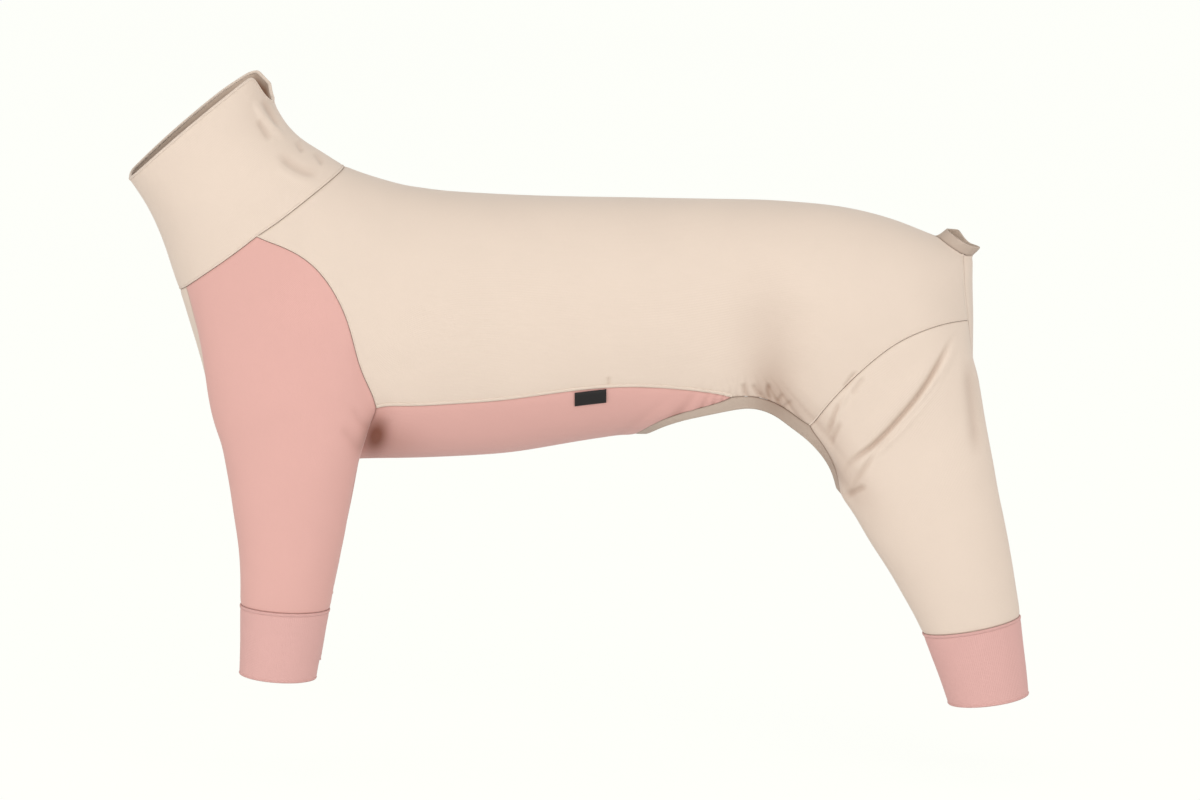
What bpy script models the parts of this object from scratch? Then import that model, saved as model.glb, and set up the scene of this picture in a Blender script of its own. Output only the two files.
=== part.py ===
"""A four-legged stretch coat for a dog, worn open: collar, back panel, chest, belly, four legs, cuffs and bindings.

The coat is drawn as one skin. The torso is a row of rounded sections, and the seams are curves on it. The legs hang
from those seams. Each panel is then cut from the skin, drawn back from its seams by half the seam gap, and given the
thickness of the cloth. The head end points to -X, up is +Z, and the dog's left side is at -Y. The origin is on the
inner face of the back, where the coat sits on the dog.
"""

import math
from collections import namedtuple

import bpy
import numpy as np
from mathutils.bvhtree import BVHTree

# Sizes in metres
BACK_LENGTH = 0.502
CHEST_DEPTH = 0.214
CHEST_WIDTH = 0.154
COLLAR_HEIGHT = 0.096
COLLAR_RIM_WIDTH = 0.092
COLLAR_NOTCH_DEPTH = 0.014
COLLAR_RIM_BOW = 0.0018
FRONT_LEG_LENGTH = 0.144
FRONT_LEG_DEPTH = 0.126
FRONT_LEG_WIDTH = 0.060
FRONT_LEG_SPACING = 0.104
FRONT_CUFF_LENGTH = 0.057
FRONT_CUFF_DEPTH = 0.063
FRONT_CUFF_WIDTH = 0.052
HIND_LEG_LENGTH = 0.137
HIND_LEG_DEPTH = 0.141
HIND_LEG_WIDTH = 0.062
HIND_LEG_SPACING = 0.100
HIND_CUFF_LENGTH = 0.062
HIND_CUFF_DEPTH = 0.066
HIND_CUFF_WIDTH = 0.054
TAIL_HOLE_LENGTH = 0.028
BINDING_WIDTH = 0.0085
BINDING_THICKNESS = 0.0020
TAIL_RIM_HEIGHT = 0.009
LABEL_WIDTH = 0.025
LABEL_HEIGHT = 0.012
LABEL_THICKNESS = 0.0012
LABEL_CLEARANCE = 0.0006
CLOTH = 0.0015
SEAM_GAP = 0.0004

# The torso's sections are superellipses with this exponent: 2 is an ellipse.
FULLNESS = 2.2
# Where the coat sits on the back, as a share of the back's length from the neck seam.
SEAT_SHARE = 0.406

# How many faces each seam and each run of rows is divided into.
NECK_BACK_COUNT = 9
SHOULDER_COUNT = 8
NECK_SIDE_COUNT = 9
ACROSS_COUNT = 5
ARMHOLE_COUNT = 7
BELLY_SEAM_COUNT = 14
ARCH_COUNT = 5
YOKE_COUNT = 11
TAIL_SIDE_COUNT = 3
THIGH_COUNT = 6
CROTCH_COUNT = 8
GUSSET_COUNT = 2
LEG_ROW_COUNT = 8
CUFF_ROW_COUNT = 2
COLLAR_ROW_COUNT = 7
RELAXING_ROUNDS = 12

# One section of the torso. Alongs are shares of the back's length from the neck seam, ups are shares of the chest's
# depth from the back line, and the half width is a share of half the chest's width.
Section = namedtuple("Section", "station top_along top_up low_along low_up half_width")
TORSO = [
    Section(0.000, 0.000, 0.112, -0.264, -0.344, 0.74),
    Section(0.018, 0.027, 0.090, -0.247, -0.464, 0.82),
    Section(0.037, 0.053, 0.071, -0.226, -0.636, 0.90),
    Section(0.067, 0.078, 0.056, -0.197, -0.875, 0.96),
    Section(0.118, 0.100, 0.045, -0.096, -1.000, 0.99),
    Section(0.176, 0.126, 0.037, 0.011, -0.983, 1.00),
    Section(0.248, 0.164, 0.026, 0.135, -0.979, 0.99),
    Section(0.333, 0.247, 0.013, 0.247, -0.964, 0.98),
    Section(0.433, 0.360, 0.005, 0.360, -0.924, 0.97),
    Section(0.530, 0.470, 0.000, 0.470, -0.892, 0.95),
    Section(0.628, 0.582, -0.004, 0.582, -0.908, 0.92),
    Section(0.726, 0.693, -0.011, 0.693, -0.942, 0.92),
    Section(0.825, 0.805, -0.041, 0.805, -0.976, 0.94),
    Section(0.902, 0.892, -0.097, 0.892, -0.961, 0.88),
    Section(0.937, 0.932, -0.135, 0.935, -0.923, 0.79),
    Section(0.962, 0.961, -0.168, 0.964, -0.867, 0.65),
    Section(0.979, 0.980, -0.194, 0.983, -0.811, 0.49),
    Section(0.990, 0.993, -0.213, 0.994, -0.766, 0.34),
    Section(1.000, 1.001, -0.224, 1.001, -0.729, 0.00),
]

# Seams as seen from the side: shares of the back's length and of the chest's depth.
SHOULDER_SEAM = [(-0.096, -0.146), (-0.056, -0.184), (-0.027, -0.247), (-0.003, -0.351), (0.015, -0.475),
                 (0.022, -0.591), (0.031, -0.688), (0.053, -0.748)]
BELLY_SEAM = [(0.088, -0.762), (0.151, -0.748), (0.215, -0.740), (0.279, -0.722), (0.343, -0.703), (0.422, -0.680),
              (0.486, -0.684), (0.550, -0.699), (0.598, -0.716), (0.622, -0.727)]
BELLY_EDGE = [(0.593, -0.746), (0.556, -0.770), (0.515, -0.796), (0.485, -0.834)]
ARCH_EDGE = [(0.658, -0.725), (0.679, -0.742), (0.701, -0.772), (0.720, -0.811), (0.738, -0.852)]
YOKE_SEAM = [(0.749, -0.800), (0.776, -0.718), (0.800, -0.654), (0.824, -0.604), (0.861, -0.533), (0.904, -0.479),
             (0.950, -0.445), (0.9935, -0.443)]
GUSSET_SEAM = [(0.9905, -0.387), (0.9880, -0.336), (0.9850, -0.219)]
GUSSET_TAIL = [(0.9955, -0.531), (0.9975, -0.624), (0.9985, -0.703)]

# Spots on the torso: the station, and the share of the way round from the back to the belly.
Spot = namedtuple("Spot", "station around")
SHOULDER_CORNER = Spot(0.0, 0.52)
CHEST_CORNER = Spot(0.0, 0.86)
CHEST_SEAM = [Spot(0.020, 0.875), Spot(0.045, 0.885)]
CHEST_END = Spot(0.078, 0.90)
CHEST_CENTRE = Spot(0.082, 1.0)
ARMHOLE = [Spot(0.115, 0.85), Spot(0.155, 0.81), Spot(0.182, 0.765)]
BELLY_END = Spot(0.517, 1.0)

# One ring of the collar: how far up it is, and how far its back and front have moved from the neck seam, as shares
# of the collar's height.
Ring = namedtuple("Ring", "up back_along back_up front_along front_up")
COLLAR = [
    Ring(0.00, 0.000, 0.000, 0.000, 0.000),
    Ring(0.20, -0.192, 0.133, -0.058, 0.183),
    Ring(0.40, -0.350, 0.229, -0.110, 0.350),
    Ring(0.60, -0.463, 0.342, -0.183, 0.530),
    Ring(0.80, -0.542, 0.458, -0.267, 0.712),
    Ring(1.00, -0.700, 0.795, -0.405, 0.915),
    Ring(1.20, -0.830, 1.160, -0.560, 1.090),
]
NOTCH_SHARE_AROUND = 0.20

# One ring of a leg: how far down the leg it is and how far back, as shares of the leg's length, its depth and width as
# shares of the leg's, its tilt in degrees with the front end lower, and its place out from the middle as a share of
# half the spacing of the legs.
LegRing = namedtuple("LegRing", "down back depth tilt width out")
FRONT_LEG = [
    LegRing(0.00, 0.000, 1.000, 11, 0.92, 0.99),
    LegRing(0.31, -0.030, 0.816, 5, 1.02, 0.98),
    LegRing(0.53, -0.034, 0.733, 1, 1.03, 0.97),
    LegRing(0.75, -0.043, 0.639, -2, 1.00, 0.97),
    LegRing(1.00, -0.069, 0.585, -3, 0.95, 0.97),
]
HIND_LEG = [
    LegRing(0.00, 0.000, 1.000, 35, 0.98, 0.95),
    LegRing(0.21, 0.062, 0.869, 25, 1.04, 0.97),
    LegRing(0.40, 0.128, 0.795, 22, 1.06, 0.98),
    LegRing(0.57, 0.194, 0.718, 18, 1.04, 0.99),
    LegRing(0.78, 0.262, 0.650, 13, 1.00, 1.00),
    LegRing(1.00, 0.339, 0.576, 10, 0.96, 1.00),
]
# How much of the hang of a leg's top ring is carried up into the cloth above it.
HANG_SHARE = 0.7
# The middle of each leg's top ring, as seen from the side.
FRONT_LEG_ROOT = (-0.074, -0.824)
HIND_LEG_ROOT = (0.902, -0.921)
# Each cuff's slant back over its length, and the tilt of its end.
FRONT_CUFF_SLANT_SHARE, FRONT_CUFF_TILT_DEGREES = -0.10, -4
HIND_CUFF_SLANT_SHARE, HIND_CUFF_TILT_DEGREES = 0.226, 7
# The outer side of a cuff ring hangs lower than its inner side by this share of its width.
CUFF_SAG_SHARE = 0.10
# How far round a leg's ring its side seams reach, in degrees from where the ring starts.
FRONT_SWEEP_DEGREES = 215
HIND_SWEEP_DEGREES = 205

# Behind this share of the back's length, an open edge above the tail's share of the chest's depth is the tail
# hole's, and one between it and the cuffs' share is the groin's.
BEHIND_RIBS_SHARE = 0.3
TAIL_ABOVE_SHARE = -0.4
CUFF_BELOW_SHARE = -1.3
# How far the rim of the tail hole leans out from the cloth round it.
TAIL_RIM_LEAN_DEGREES = 60
# The inner seam of the hind leg: its dip as a share of the leg's depth, and how late it moves out to the thigh.
CROTCH_DIP_SHARE = 0.10
CROTCH_POWER = 1.8
# The front edge of the thigh: how far its middle bows back and up, as shares of its length.
THIGH_BOW_SHARE = 0.10
THIGH_LIFT_SHARE = 0.02
# The middle of the label along the back's length, and how far below the belly seam it starts, in metres.
LABEL_PLACE_SHARE = 0.391
LABEL_DROP = 0.0012

# One fold, as seen from the side: its ends, how far its middle bows up, its half width and its depth, in shares of the
# chest's depth. A depth below 0 is a ridge.
Fold = namedtuple("Fold", "along up to_along to_up bow width depth")
FOLDS = [
    Fold(0.985, -0.480, 0.800, -1.070, -0.10, 0.050, 0.028),
    Fold(0.975, -0.640, 0.815, -1.130, -0.08, 0.045, -0.020),
    Fold(0.940, -0.520, 0.775, -1.020, -0.07, 0.050, -0.018),
    Fold(0.860, -0.560, 0.760, -0.960, 0.02, 0.035, 0.014),
    Fold(0.660, -0.560, 0.672, -0.740, 0.00, 0.030, 0.012),
    Fold(0.700, -0.600, 0.696, -0.760, 0.00, 0.028, 0.012),
    Fold(-0.120, 0.180, -0.060, 0.060, -0.03, 0.040, 0.016),
    Fold(-0.110, 0.300, -0.010, 0.090, -0.05, 0.030, -0.012),
]


def clear_scene():
    for thing in list(bpy.data.objects):
        bpy.data.objects.remove(thing)


def spline(knots, values, at):
    """A smooth curve through the values at the knots, read at the places in at."""
    knots, values, at = np.asarray(knots, float), np.asarray(values, float), np.asarray(at, float)
    slopes = np.gradient(values, knots, axis=0)
    left = np.clip(np.searchsorted(knots, at, side="right") - 1, 0, len(knots) - 2)
    span = knots[left + 1] - knots[left]
    share = (at - knots[left]) / span
    shape = (-1,) + (1,) * (values.ndim - 1)
    t, h = share.reshape(shape), span.reshape(shape)
    return ((1 + 2 * t) * (1 - t) ** 2 * values[left] + t * (1 - t) ** 2 * h * slopes[left]
            + t * t * (3 - 2 * t) * values[left + 1] + t * t * (t - 1) * h * slopes[left + 1])


def lengths_along(points):
    steps = np.linalg.norm(np.diff(points, axis=0), axis=1)
    return np.concatenate([[0], np.cumsum(steps)])


def side_place(along, up):
    """Where a share of the back's length and of the chest's depth lies in the side view, in metres."""
    return np.array([(along - SEAT_SHARE) * BACK_LENGTH, up * CHEST_DEPTH + CLOTH])


STATIONS = np.array([row.station for row in TORSO])
TOPS = np.array([side_place(row.top_along, row.top_up) for row in TORSO])
LOWS = np.array([side_place(row.low_along, row.low_up) for row in TORSO])
HALF_WIDTHS = np.array([row.half_width for row in TORSO]) * CHEST_WIDTH / 2


def torso_frame(station):
    """The top, the bottom and the half width of the torso's section at each station."""
    station = np.clip(np.atleast_1d(station), 0, 1)
    # Widths are interpolated as squares, so that the rump closes round and not to a point.
    squares = np.interp(station, STATIONS, HALF_WIDTHS ** 2)
    return spline(STATIONS, TOPS, station), spline(STATIONS, LOWS, station), np.sqrt(np.maximum(squares, 0))


def rounded(top, low, half_width, around):
    """Points of a rounded section, on the dog's left side. Around is 0 at the top and 1 at the bottom."""
    angle = np.pi * np.asarray(around, float)
    power = 2 / FULLNESS
    height = np.sign(np.cos(angle)) * np.abs(np.cos(angle)) ** power
    reach = np.abs(np.sin(angle)) ** power
    place = (top + low) / 2 + (top - low) / 2 * height[:, None]
    return np.stack([place[:, 0], -half_width * reach, place[:, 1]], axis=1)


def torso(spots):
    """Points on the torso at an array of spots."""
    spots = np.asarray(spots, float).reshape(-1, 2)
    top, low, half_width = torso_frame(spots[:, 0])
    return rounded(top, low, half_width, spots[:, 1])


def spot_seen_at(along, up):
    """The spot on the torso that the side view shows at these shares."""
    place = side_place(along, up)
    station = np.linspace(0, 1, 2001)
    top, low, _ = torso_frame(station)
    line, offset = low - top, place - top
    side = line[:, 0] * offset[:, 1] - line[:, 1] * offset[:, 0]
    crossings = np.nonzero(side[:-1] * side[1:] <= 0)[0]
    if len(crossings):
        first = crossings[0]
        found = station[first] + (station[1] - station[0]) * side[first] / (side[first] - side[first + 1])
    else:
        found = station[np.argmin(np.abs(side))]
    top, low, _ = torso_frame(found)
    run = (low - top)[0]
    share = np.clip(np.dot(place - top[0], run) / np.dot(run, run), 0, 1)
    height = 1 - 2 * share
    cosine = np.sign(height) * abs(height) ** (FULLNESS / 2)
    return Spot(float(found), math.acos(cosine) / math.pi)


def seam(spots, count):
    """Spots spread evenly, by length on the torso, along a smooth curve through the given spots."""
    spots = np.array(spots, float)
    knots = lengths_along(torso(spots))
    fine = spline(knots, spots, np.linspace(0, knots[-1], 400))
    length = lengths_along(torso(fine))
    share = np.linspace(0, 1, count + 1)
    return np.stack([np.interp(share * length[-1], length, fine[:, k]) for k in range(2)], axis=1)


def joined(*runs):
    """Runs of points end to end, each shared point once."""
    return np.concatenate([runs[0]] + [run[1:] for run in runs[1:]])


def filled(start, end, first, last):
    """A grid between four edges: start and end run across it, first and last run along it."""
    across = np.linspace(0, 1, len(start))[None, :, None]
    along = np.linspace(0, 1, len(first))[:, None, None]
    corners = ((1 - along) * ((1 - across) * start[0] + across * start[-1])
               + along * ((1 - across) * end[0] + across * end[-1]))
    return ((1 - along) * start[None] + along * end[None]
            + (1 - across) * first[:, None] + across * last[:, None] - corners)


class Seams:
    """The seams and edges on the torso, as spots."""

    def __init__(self):
        seen = spot_seen_at
        armpit = seen(*SHOULDER_SEAM[-1])
        groin = seen(*BELLY_SEAM[-1])
        yoke_front = seen(*ARCH_EDGE[-1])
        yoke_rear = seen(*YOKE_SEAM[-1])
        tail_corner = seen(*GUSSET_SEAM[-1])
        self.neck_back = seam([Spot(0, 0), SHOULDER_CORNER], NECK_BACK_COUNT)
        self.neck_side = seam([SHOULDER_CORNER, CHEST_CORNER], NECK_SIDE_COUNT)
        self.neck_front = seam([CHEST_CORNER, Spot(0, 1)], ACROSS_COUNT)
        self.shoulder = seam([SHOULDER_CORNER, *[seen(*p) for p in SHOULDER_SEAM]], SHOULDER_COUNT)
        self.chest = seam([CHEST_CORNER, *CHEST_SEAM, CHEST_END], SHOULDER_COUNT)
        self.chest_low = seam([CHEST_END, CHEST_CENTRE], ACROSS_COUNT)
        self.armhole = seam([CHEST_END, *ARMHOLE, armpit], ARMHOLE_COUNT)
        self.belly = seam([armpit, *[seen(*p) for p in BELLY_SEAM]], BELLY_SEAM_COUNT)
        self.belly_edge = seam([groin, *[seen(*p) for p in BELLY_EDGE], BELLY_END], ACROSS_COUNT)
        self.arch = seam([groin, *[seen(*p) for p in ARCH_EDGE]], ARCH_COUNT)
        self.yoke = seam([yoke_front, *[seen(*p) for p in YOKE_SEAM]], YOKE_COUNT)
        self.gusset = seam([yoke_rear, *[seen(*p) for p in GUSSET_SEAM]], NECK_BACK_COUNT)
        self.gusset_tail = seam([yoke_rear, *[seen(*p) for p in GUSSET_TAIL]], THIGH_COUNT)
        hole_front = 1 - TAIL_HOLE_LENGTH / BACK_LENGTH
        turn = np.linspace(0, 1, TAIL_SIDE_COUNT + 1)
        front = np.array(Spot(hole_front, 0))
        corner = np.array(tail_corner)
        self.tail_side = np.stack([front[0] + (corner[0] - front[0]) * (1 - np.cos(turn * np.pi / 2)),
                                   corner[1] * np.sin(turn * np.pi / 2)], axis=1)
        self.tail_rear = seam([tail_corner, Spot(1, 0.02)], GUSSET_COUNT)


def on_torso(grid):
    """A grid of spots as points, its inner spots first spread evenly between its edges."""
    grid = grid.copy()
    for _ in range(RELAXING_ROUNDS):
        grid[1:-1, 1:-1] = (grid[:-2, 1:-1] + grid[2:, 1:-1] + grid[1:-1, :-2] + grid[1:-1, 2:]) / 4
    return torso(grid).reshape(grid.shape[0], grid.shape[1], 3)


def back_grid(seams):
    lower = joined(seams.shoulder, seams.belly, seams.arch, seams.yoke)
    count = len(lower) - 1 - TAIL_SIDE_COUNT
    stations = lower[: count + 1, 0] * seams.tail_side[0, 0] / lower[count, 0]
    midline = np.stack([np.maximum.accumulate(stations), np.zeros(count + 1)], axis=1)
    upper = joined(midline, seams.tail_side)
    return on_torso(filled(seams.neck_back, seams.gusset[::-1], upper, lower))


def chest_grid(seams):
    middle = seam([Spot(0, 1), CHEST_CENTRE], SHOULDER_COUNT)
    return on_torso(filled(seams.neck_front, seams.chest_low, seams.chest, middle))


def belly_grid(seams):
    outer = joined(seams.armhole, seams.belly)
    middle = seam([CHEST_CENTRE, BELLY_END], len(outer) - 1)
    return on_torso(filled(seams.chest_low, seams.belly_edge, outer, middle))


def gusset_grid(seams):
    outer = joined(seams.gusset[::-1], seams.gusset_tail)
    last = seams.gusset_tail[-1]
    middle = np.stack([np.ones(len(outer)), np.linspace(seams.tail_rear[-1, 1], last[1], len(outer))], axis=1)
    end = seam([last, Spot(1, last[1])], GUSSET_COUNT)
    return on_torso(filled(seams.tail_rear, end, outer, middle))


def collar_grid(seams):
    ring = joined(seams.neck_back, seams.neck_side, seams.neck_front)
    around = ring[:, 1]
    top, low, half_width = torso_frame(0.0)
    ups = np.array([row.up for row in COLLAR])
    backs = top[0] + COLLAR_HEIGHT * np.array([(row.back_along, row.back_up) for row in COLLAR])
    fronts = low[0] + COLLAR_HEIGHT * np.array([(row.front_along, row.front_up) for row in COLLAR])
    notch = COLLAR_NOTCH_DEPTH / COLLAR_HEIGHT * np.clip(1 - (around / NOTCH_SHARE_AROUND) ** 2, 0, 1) ** 1.5
    bow = COLLAR_RIM_BOW / COLLAR_HEIGHT * np.sin(np.pi * around) ** 2
    rows = []
    for row in range(COLLAR_ROW_COUNT + 1):
        share = row / COLLAR_ROW_COUNT
        at = share * (1 - notch) + share ** 3 * bow
        ease = at * at * (3 - 2 * at)
        width = half_width * (1 - ease) + COLLAR_RIM_WIDTH / 2 * ease
        rows.append(rounded(spline(ups, backs, at), spline(ups, fronts, at), width, around))
    return np.array(rows)


def leg_ring(root, row, length, depth, width, spacing, starts_at_rear, angles):
    """One ring of a leg: points at the given angles, which run from its start over the outer side."""
    centre = np.array([root[0] + row.back * length, -row.out * spacing / 2, root[1] - row.down * length])
    tilt = math.radians(row.tilt)
    to_rear = np.array([math.cos(tilt), 0, math.sin(tilt)])
    to_start = to_rear if starts_at_rear else -to_rear
    reach = row.depth * depth / 2 * np.cos(angles)[:, None] * to_start
    out = row.width * width / 2 * np.sin(angles)[:, None] * np.array([0, -1, 0])
    return centre + reach + out


class Leg:
    """A leg's rings between its root and its cuff seam, and the cuff's below them."""

    def __init__(self, root, rings, sizes, starts_at_rear, sweep, side_count, inner_count, cuff):
        self.root, self.rings, self.sizes, self.starts_at_rear, self.cuff = root, rings, sizes, starts_at_rear, cuff
        outer = np.linspace(0, math.radians(sweep), side_count + 1)
        inner = np.linspace(math.radians(sweep), 2 * math.pi, inner_count + 1)
        self.angles = np.concatenate([outer, inner[1:-1]])
        self.side_count = side_count

    def ring(self, down):
        fields = np.array([list(row) for row in self.rings])
        found = spline(fields[:, 0], fields, [down])[0]
        return leg_ring(self.root, LegRing(*found), *self.sizes, self.starts_at_rear, self.angles)

    def sagging(self, points, share):
        """The outer side of a ring near the cuff hangs a little lower than its inner side."""
        middle = points[:, 1].mean()
        points = points.copy()
        points[:, 2] += CUFF_SAG_SHARE * share * (points[:, 1] - middle)
        return points

    def cuff_ring(self, share):
        length, back, tilt, depth, width = self.cuff
        leg_length, leg_depth, leg_width, spacing = self.sizes
        last = self.rings[-1]
        start = leg_ring(self.root, last, *self.sizes, self.starts_at_rear, self.angles)
        root = (self.root[0] + last.back * leg_length + back * length, self.root[1] - last.down * leg_length - length)
        end_row = LegRing(0, 0, 1, tilt, 1, last.out)
        end = leg_ring(root, end_row, 0, depth, width, spacing, self.starts_at_rear, self.angles)
        return self.sagging(start * (1 - share) + end * share, 1)

    def grids(self, top_ring):
        """The leg below its top ring, and the cuff, as grids whose rows are closed rings."""
        miss = top_ring - self.ring(0)
        rows = [top_ring]
        for row in range(1, LEG_ROW_COUNT + 1):
            down = row / LEG_ROW_COUNT
            held = max(0.0, 1 - down / 0.75) ** 2
            rows.append(self.sagging(self.ring(down), down ** 3) + miss * held)
        cuff = [self.cuff_ring(row / CUFF_ROW_COUNT) for row in range(CUFF_ROW_COUNT + 1)]
        return np.array(rows), np.array(cuff)

    def outer_arc(self, start, end):
        """The outer side of the top ring, drawn to its two seam ends."""
        arc = self.ring(0)[: self.side_count + 1]
        share = np.linspace(0, 1, len(arc))[:, None]
        return arc + (1 - share) ** 2 * (start - arc[0]) + share ** 2 * (end - arc[-1])


def hung(upper, arc, below, first, last):
    """The cloth between a seam on the torso and the outer arc of a leg, whose sides are the seams first and last."""
    rows = len(first) - 1
    grid = []
    reach = np.linalg.norm(arc - upper, axis=1, keepdims=True)
    away = arc - below
    away = away / np.linalg.norm(away, axis=1, keepdims=True) * reach * HANG_SHARE
    leave = arc - upper
    for row in range(rows + 1):
        t = row / rows
        grid.append((1 + 2 * t) * (1 - t) ** 2 * upper + t * (1 - t) ** 2 * leave
                    + t * t * (3 - 2 * t) * arc - t * t * (t - 1) * away)
    grid = np.array(grid)
    share = np.linspace(0, 1, len(arc))[None, :, None]
    return grid + (1 - share) ** 3 * (first - grid[:, 0])[:, None] + share ** 3 * (last - grid[:, -1])[:, None]


def front_leg_grids(seams):
    root = side_place(*FRONT_LEG_ROOT)
    sizes = (FRONT_LEG_LENGTH, FRONT_LEG_DEPTH, FRONT_LEG_WIDTH, FRONT_LEG_SPACING)
    cuff = (FRONT_CUFF_LENGTH, FRONT_CUFF_SLANT_SHARE, FRONT_CUFF_TILT_DEGREES, FRONT_CUFF_DEPTH, FRONT_CUFF_WIDTH)
    leg = Leg(root, FRONT_LEG, sizes, True, FRONT_SWEEP_DEGREES, NECK_SIDE_COUNT, ARMHOLE_COUNT, cuff)
    shoulder, chest, armhole = torso(seams.shoulder), torso(seams.chest), torso(seams.armhole)
    arc = leg.outer_arc(shoulder[-1], chest[-1])
    lower, cuff_rows = leg.grids(np.concatenate([arc, armhole[1:-1]]))
    upper = hung(torso(seams.neck_side), arc, lower[1, : len(arc)], shoulder, chest)
    return upper, lower, cuff_rows


def hind_leg_grids(seams):
    root = side_place(*HIND_LEG_ROOT)
    sizes = (HIND_LEG_LENGTH, HIND_LEG_DEPTH, HIND_LEG_WIDTH, HIND_LEG_SPACING)
    cuff = (HIND_CUFF_LENGTH, HIND_CUFF_SLANT_SHARE, HIND_CUFF_TILT_DEGREES, HIND_CUFF_DEPTH, HIND_CUFF_WIDTH)
    leg = Leg(root, HIND_LEG, sizes, False, HIND_SWEEP_DEGREES, YOKE_COUNT, CROTCH_COUNT, cuff)
    yoke, rear = torso(seams.yoke), torso(seams.gusset_tail)
    front_top, front_low = yoke[0], leg.ring(0)[0]
    arc = leg.outer_arc(front_low, rear[-1])
    t = np.linspace(0, 1, THIGH_COUNT + 1)[:, None]
    bow = np.array([THIGH_BOW_SHARE, 0, THIGH_LIFT_SHARE]) * np.linalg.norm(front_low - front_top)
    front = front_top * (1 - t) + front_low * t + bow * 4 * t * (1 - t)
    t = np.linspace(0, 1, CROTCH_COUNT + 1)[:, None]
    inner = rear[-1] * (1 - t) + front_low * t
    inner[:, 1] = rear[-1, 1] + (front_low[1] - rear[-1, 1]) * t[:, 0] ** CROTCH_POWER
    inner[:, 2] -= CROTCH_DIP_SHARE * HIND_LEG_DEPTH * (4 * t * (1 - t))[:, 0]
    lower, cuff_rows = leg.grids(np.concatenate([arc, inner[1:-1]]))
    upper = hung(yoke, arc, lower[1, : len(arc)], front, rear)
    return upper, lower, cuff_rows


class Skin:
    """The coat as one surface of welded faces, each with the name of its panel."""

    def __init__(self):
        self.points, self.found, self.faces, self.names = [], {}, [], []

    def point(self, place):
        key = tuple(np.round(np.asarray(place) * 1e6).astype(int))
        if key not in self.found:
            self.found[key] = len(self.points)
            self.points.append(np.array(place, float))
        return self.found[key]

    def add_face(self, corners, name):
        kept = [c for i, c in enumerate(corners) if c != corners[i - 1]]
        if len(set(kept)) > 2:
            self.faces.append(kept)
            self.names.append(name)

    def add_grid(self, grid, name, closed=False, turned=False):
        """Adds a grid of the dog's left side and its mirror image on the right."""
        for mirror in (1, -1):
            side = "" if "#" not in name else ("left" if mirror == 1 else "right")
            index = [[self.point(p * [1, mirror, 1]) for p in row] for row in grid]
            wide = len(index[0])
            for a, b in zip(index[:-1], index[1:]):
                for k in range(wide if closed else wide - 1):
                    corners = [a[k], a[(k + 1) % wide], b[(k + 1) % wide], b[k]]
                    if (mirror == 1) != turned:
                        corners.reverse()
                    self.add_face(corners, name.replace("#", side))

    def arrays(self):
        self.points = np.array(self.points)

    def normals(self):
        """The mean direction of the faces round each point, by corner."""
        total = np.zeros_like(self.points)
        for face in self.faces:
            corners = self.points[face]
            cross = np.zeros(3)
            for k in range(1, len(face) - 1):
                cross += np.cross(corners[k] - corners[0], corners[k + 1] - corners[0])
            unit = cross / max(np.linalg.norm(cross), 1e-12)
            for i, vertex in enumerate(face):
                before = self.points[face[i - 1]] - self.points[vertex]
                after = self.points[face[(i + 1) % len(face)]] - self.points[vertex]
                norm = np.linalg.norm(before) * np.linalg.norm(after)
                angle = math.acos(np.clip(np.dot(before, after) / max(norm, 1e-12), -1, 1))
                total[vertex] += unit * angle
        return total / np.maximum(np.linalg.norm(total, axis=1, keepdims=True), 1e-12)

    def edges(self, name=None):
        """Each edge with the faces it bounds, as {edge: [(face, first corner, second corner)]}."""
        found = {}
        for number, face in enumerate(self.faces):
            if name is not None and self.names[number] != name:
                continue
            for i, vertex in enumerate(face):
                after = face[(i + 1) % len(face)]
                found.setdefault(frozenset((vertex, after)), []).append((number, vertex, after))
        return found

    def smooth(self, rounds):
        """Evens the surface without shrinking it. Open edges stay where they are."""
        edges = self.edges()
        fixed = {v for edge, users in edges.items() if len(users) == 1 for v in edge}
        near = [[] for _ in self.points]
        for edge in edges:
            a, b = tuple(edge)
            near[a].append(b)
            near[b].append(a)
        free = np.array([v for v in range(len(self.points)) if v not in fixed and near[v]])
        for _ in range(rounds):
            for step in (0.5, -0.52):
                means = np.array([self.points[near[v]].mean(axis=0) for v in free])
                self.points[free] += step * (means - self.points[free])

    def extend(self, inside, height, lean, name):
        """Adds a strip along the open edges that inside() accepts, carried on from the cloth and leaning outwards."""
        normals = self.normals()
        open_edges = [users[0] for users in self.edges().values() if len(users) == 1]
        chosen = [(f, a, b) for f, a, b in open_edges if inside(self.points[a]) and inside(self.points[b])]
        ways = {}
        for _, a, b in chosen:
            along = self.points[b] - self.points[a]
            for vertex in (a, b):
                away = np.cross(along, normals[vertex])
                ways[vertex] = ways.get(vertex, 0) + away / np.linalg.norm(away)
        moved = {}
        for vertex, way in ways.items():
            unit = way / np.linalg.norm(way)
            direction = unit * math.cos(lean) + normals[vertex] * math.sin(lean)
            moved[vertex] = self.point_after(self.points[vertex] + height * direction)
        for _, a, b in chosen:
            self.faces.append([b, a, moved[a], moved[b]])
            self.names.append(name)

    def point_after(self, place):
        self.points = np.vstack([self.points, place])
        return len(self.points) - 1


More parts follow.
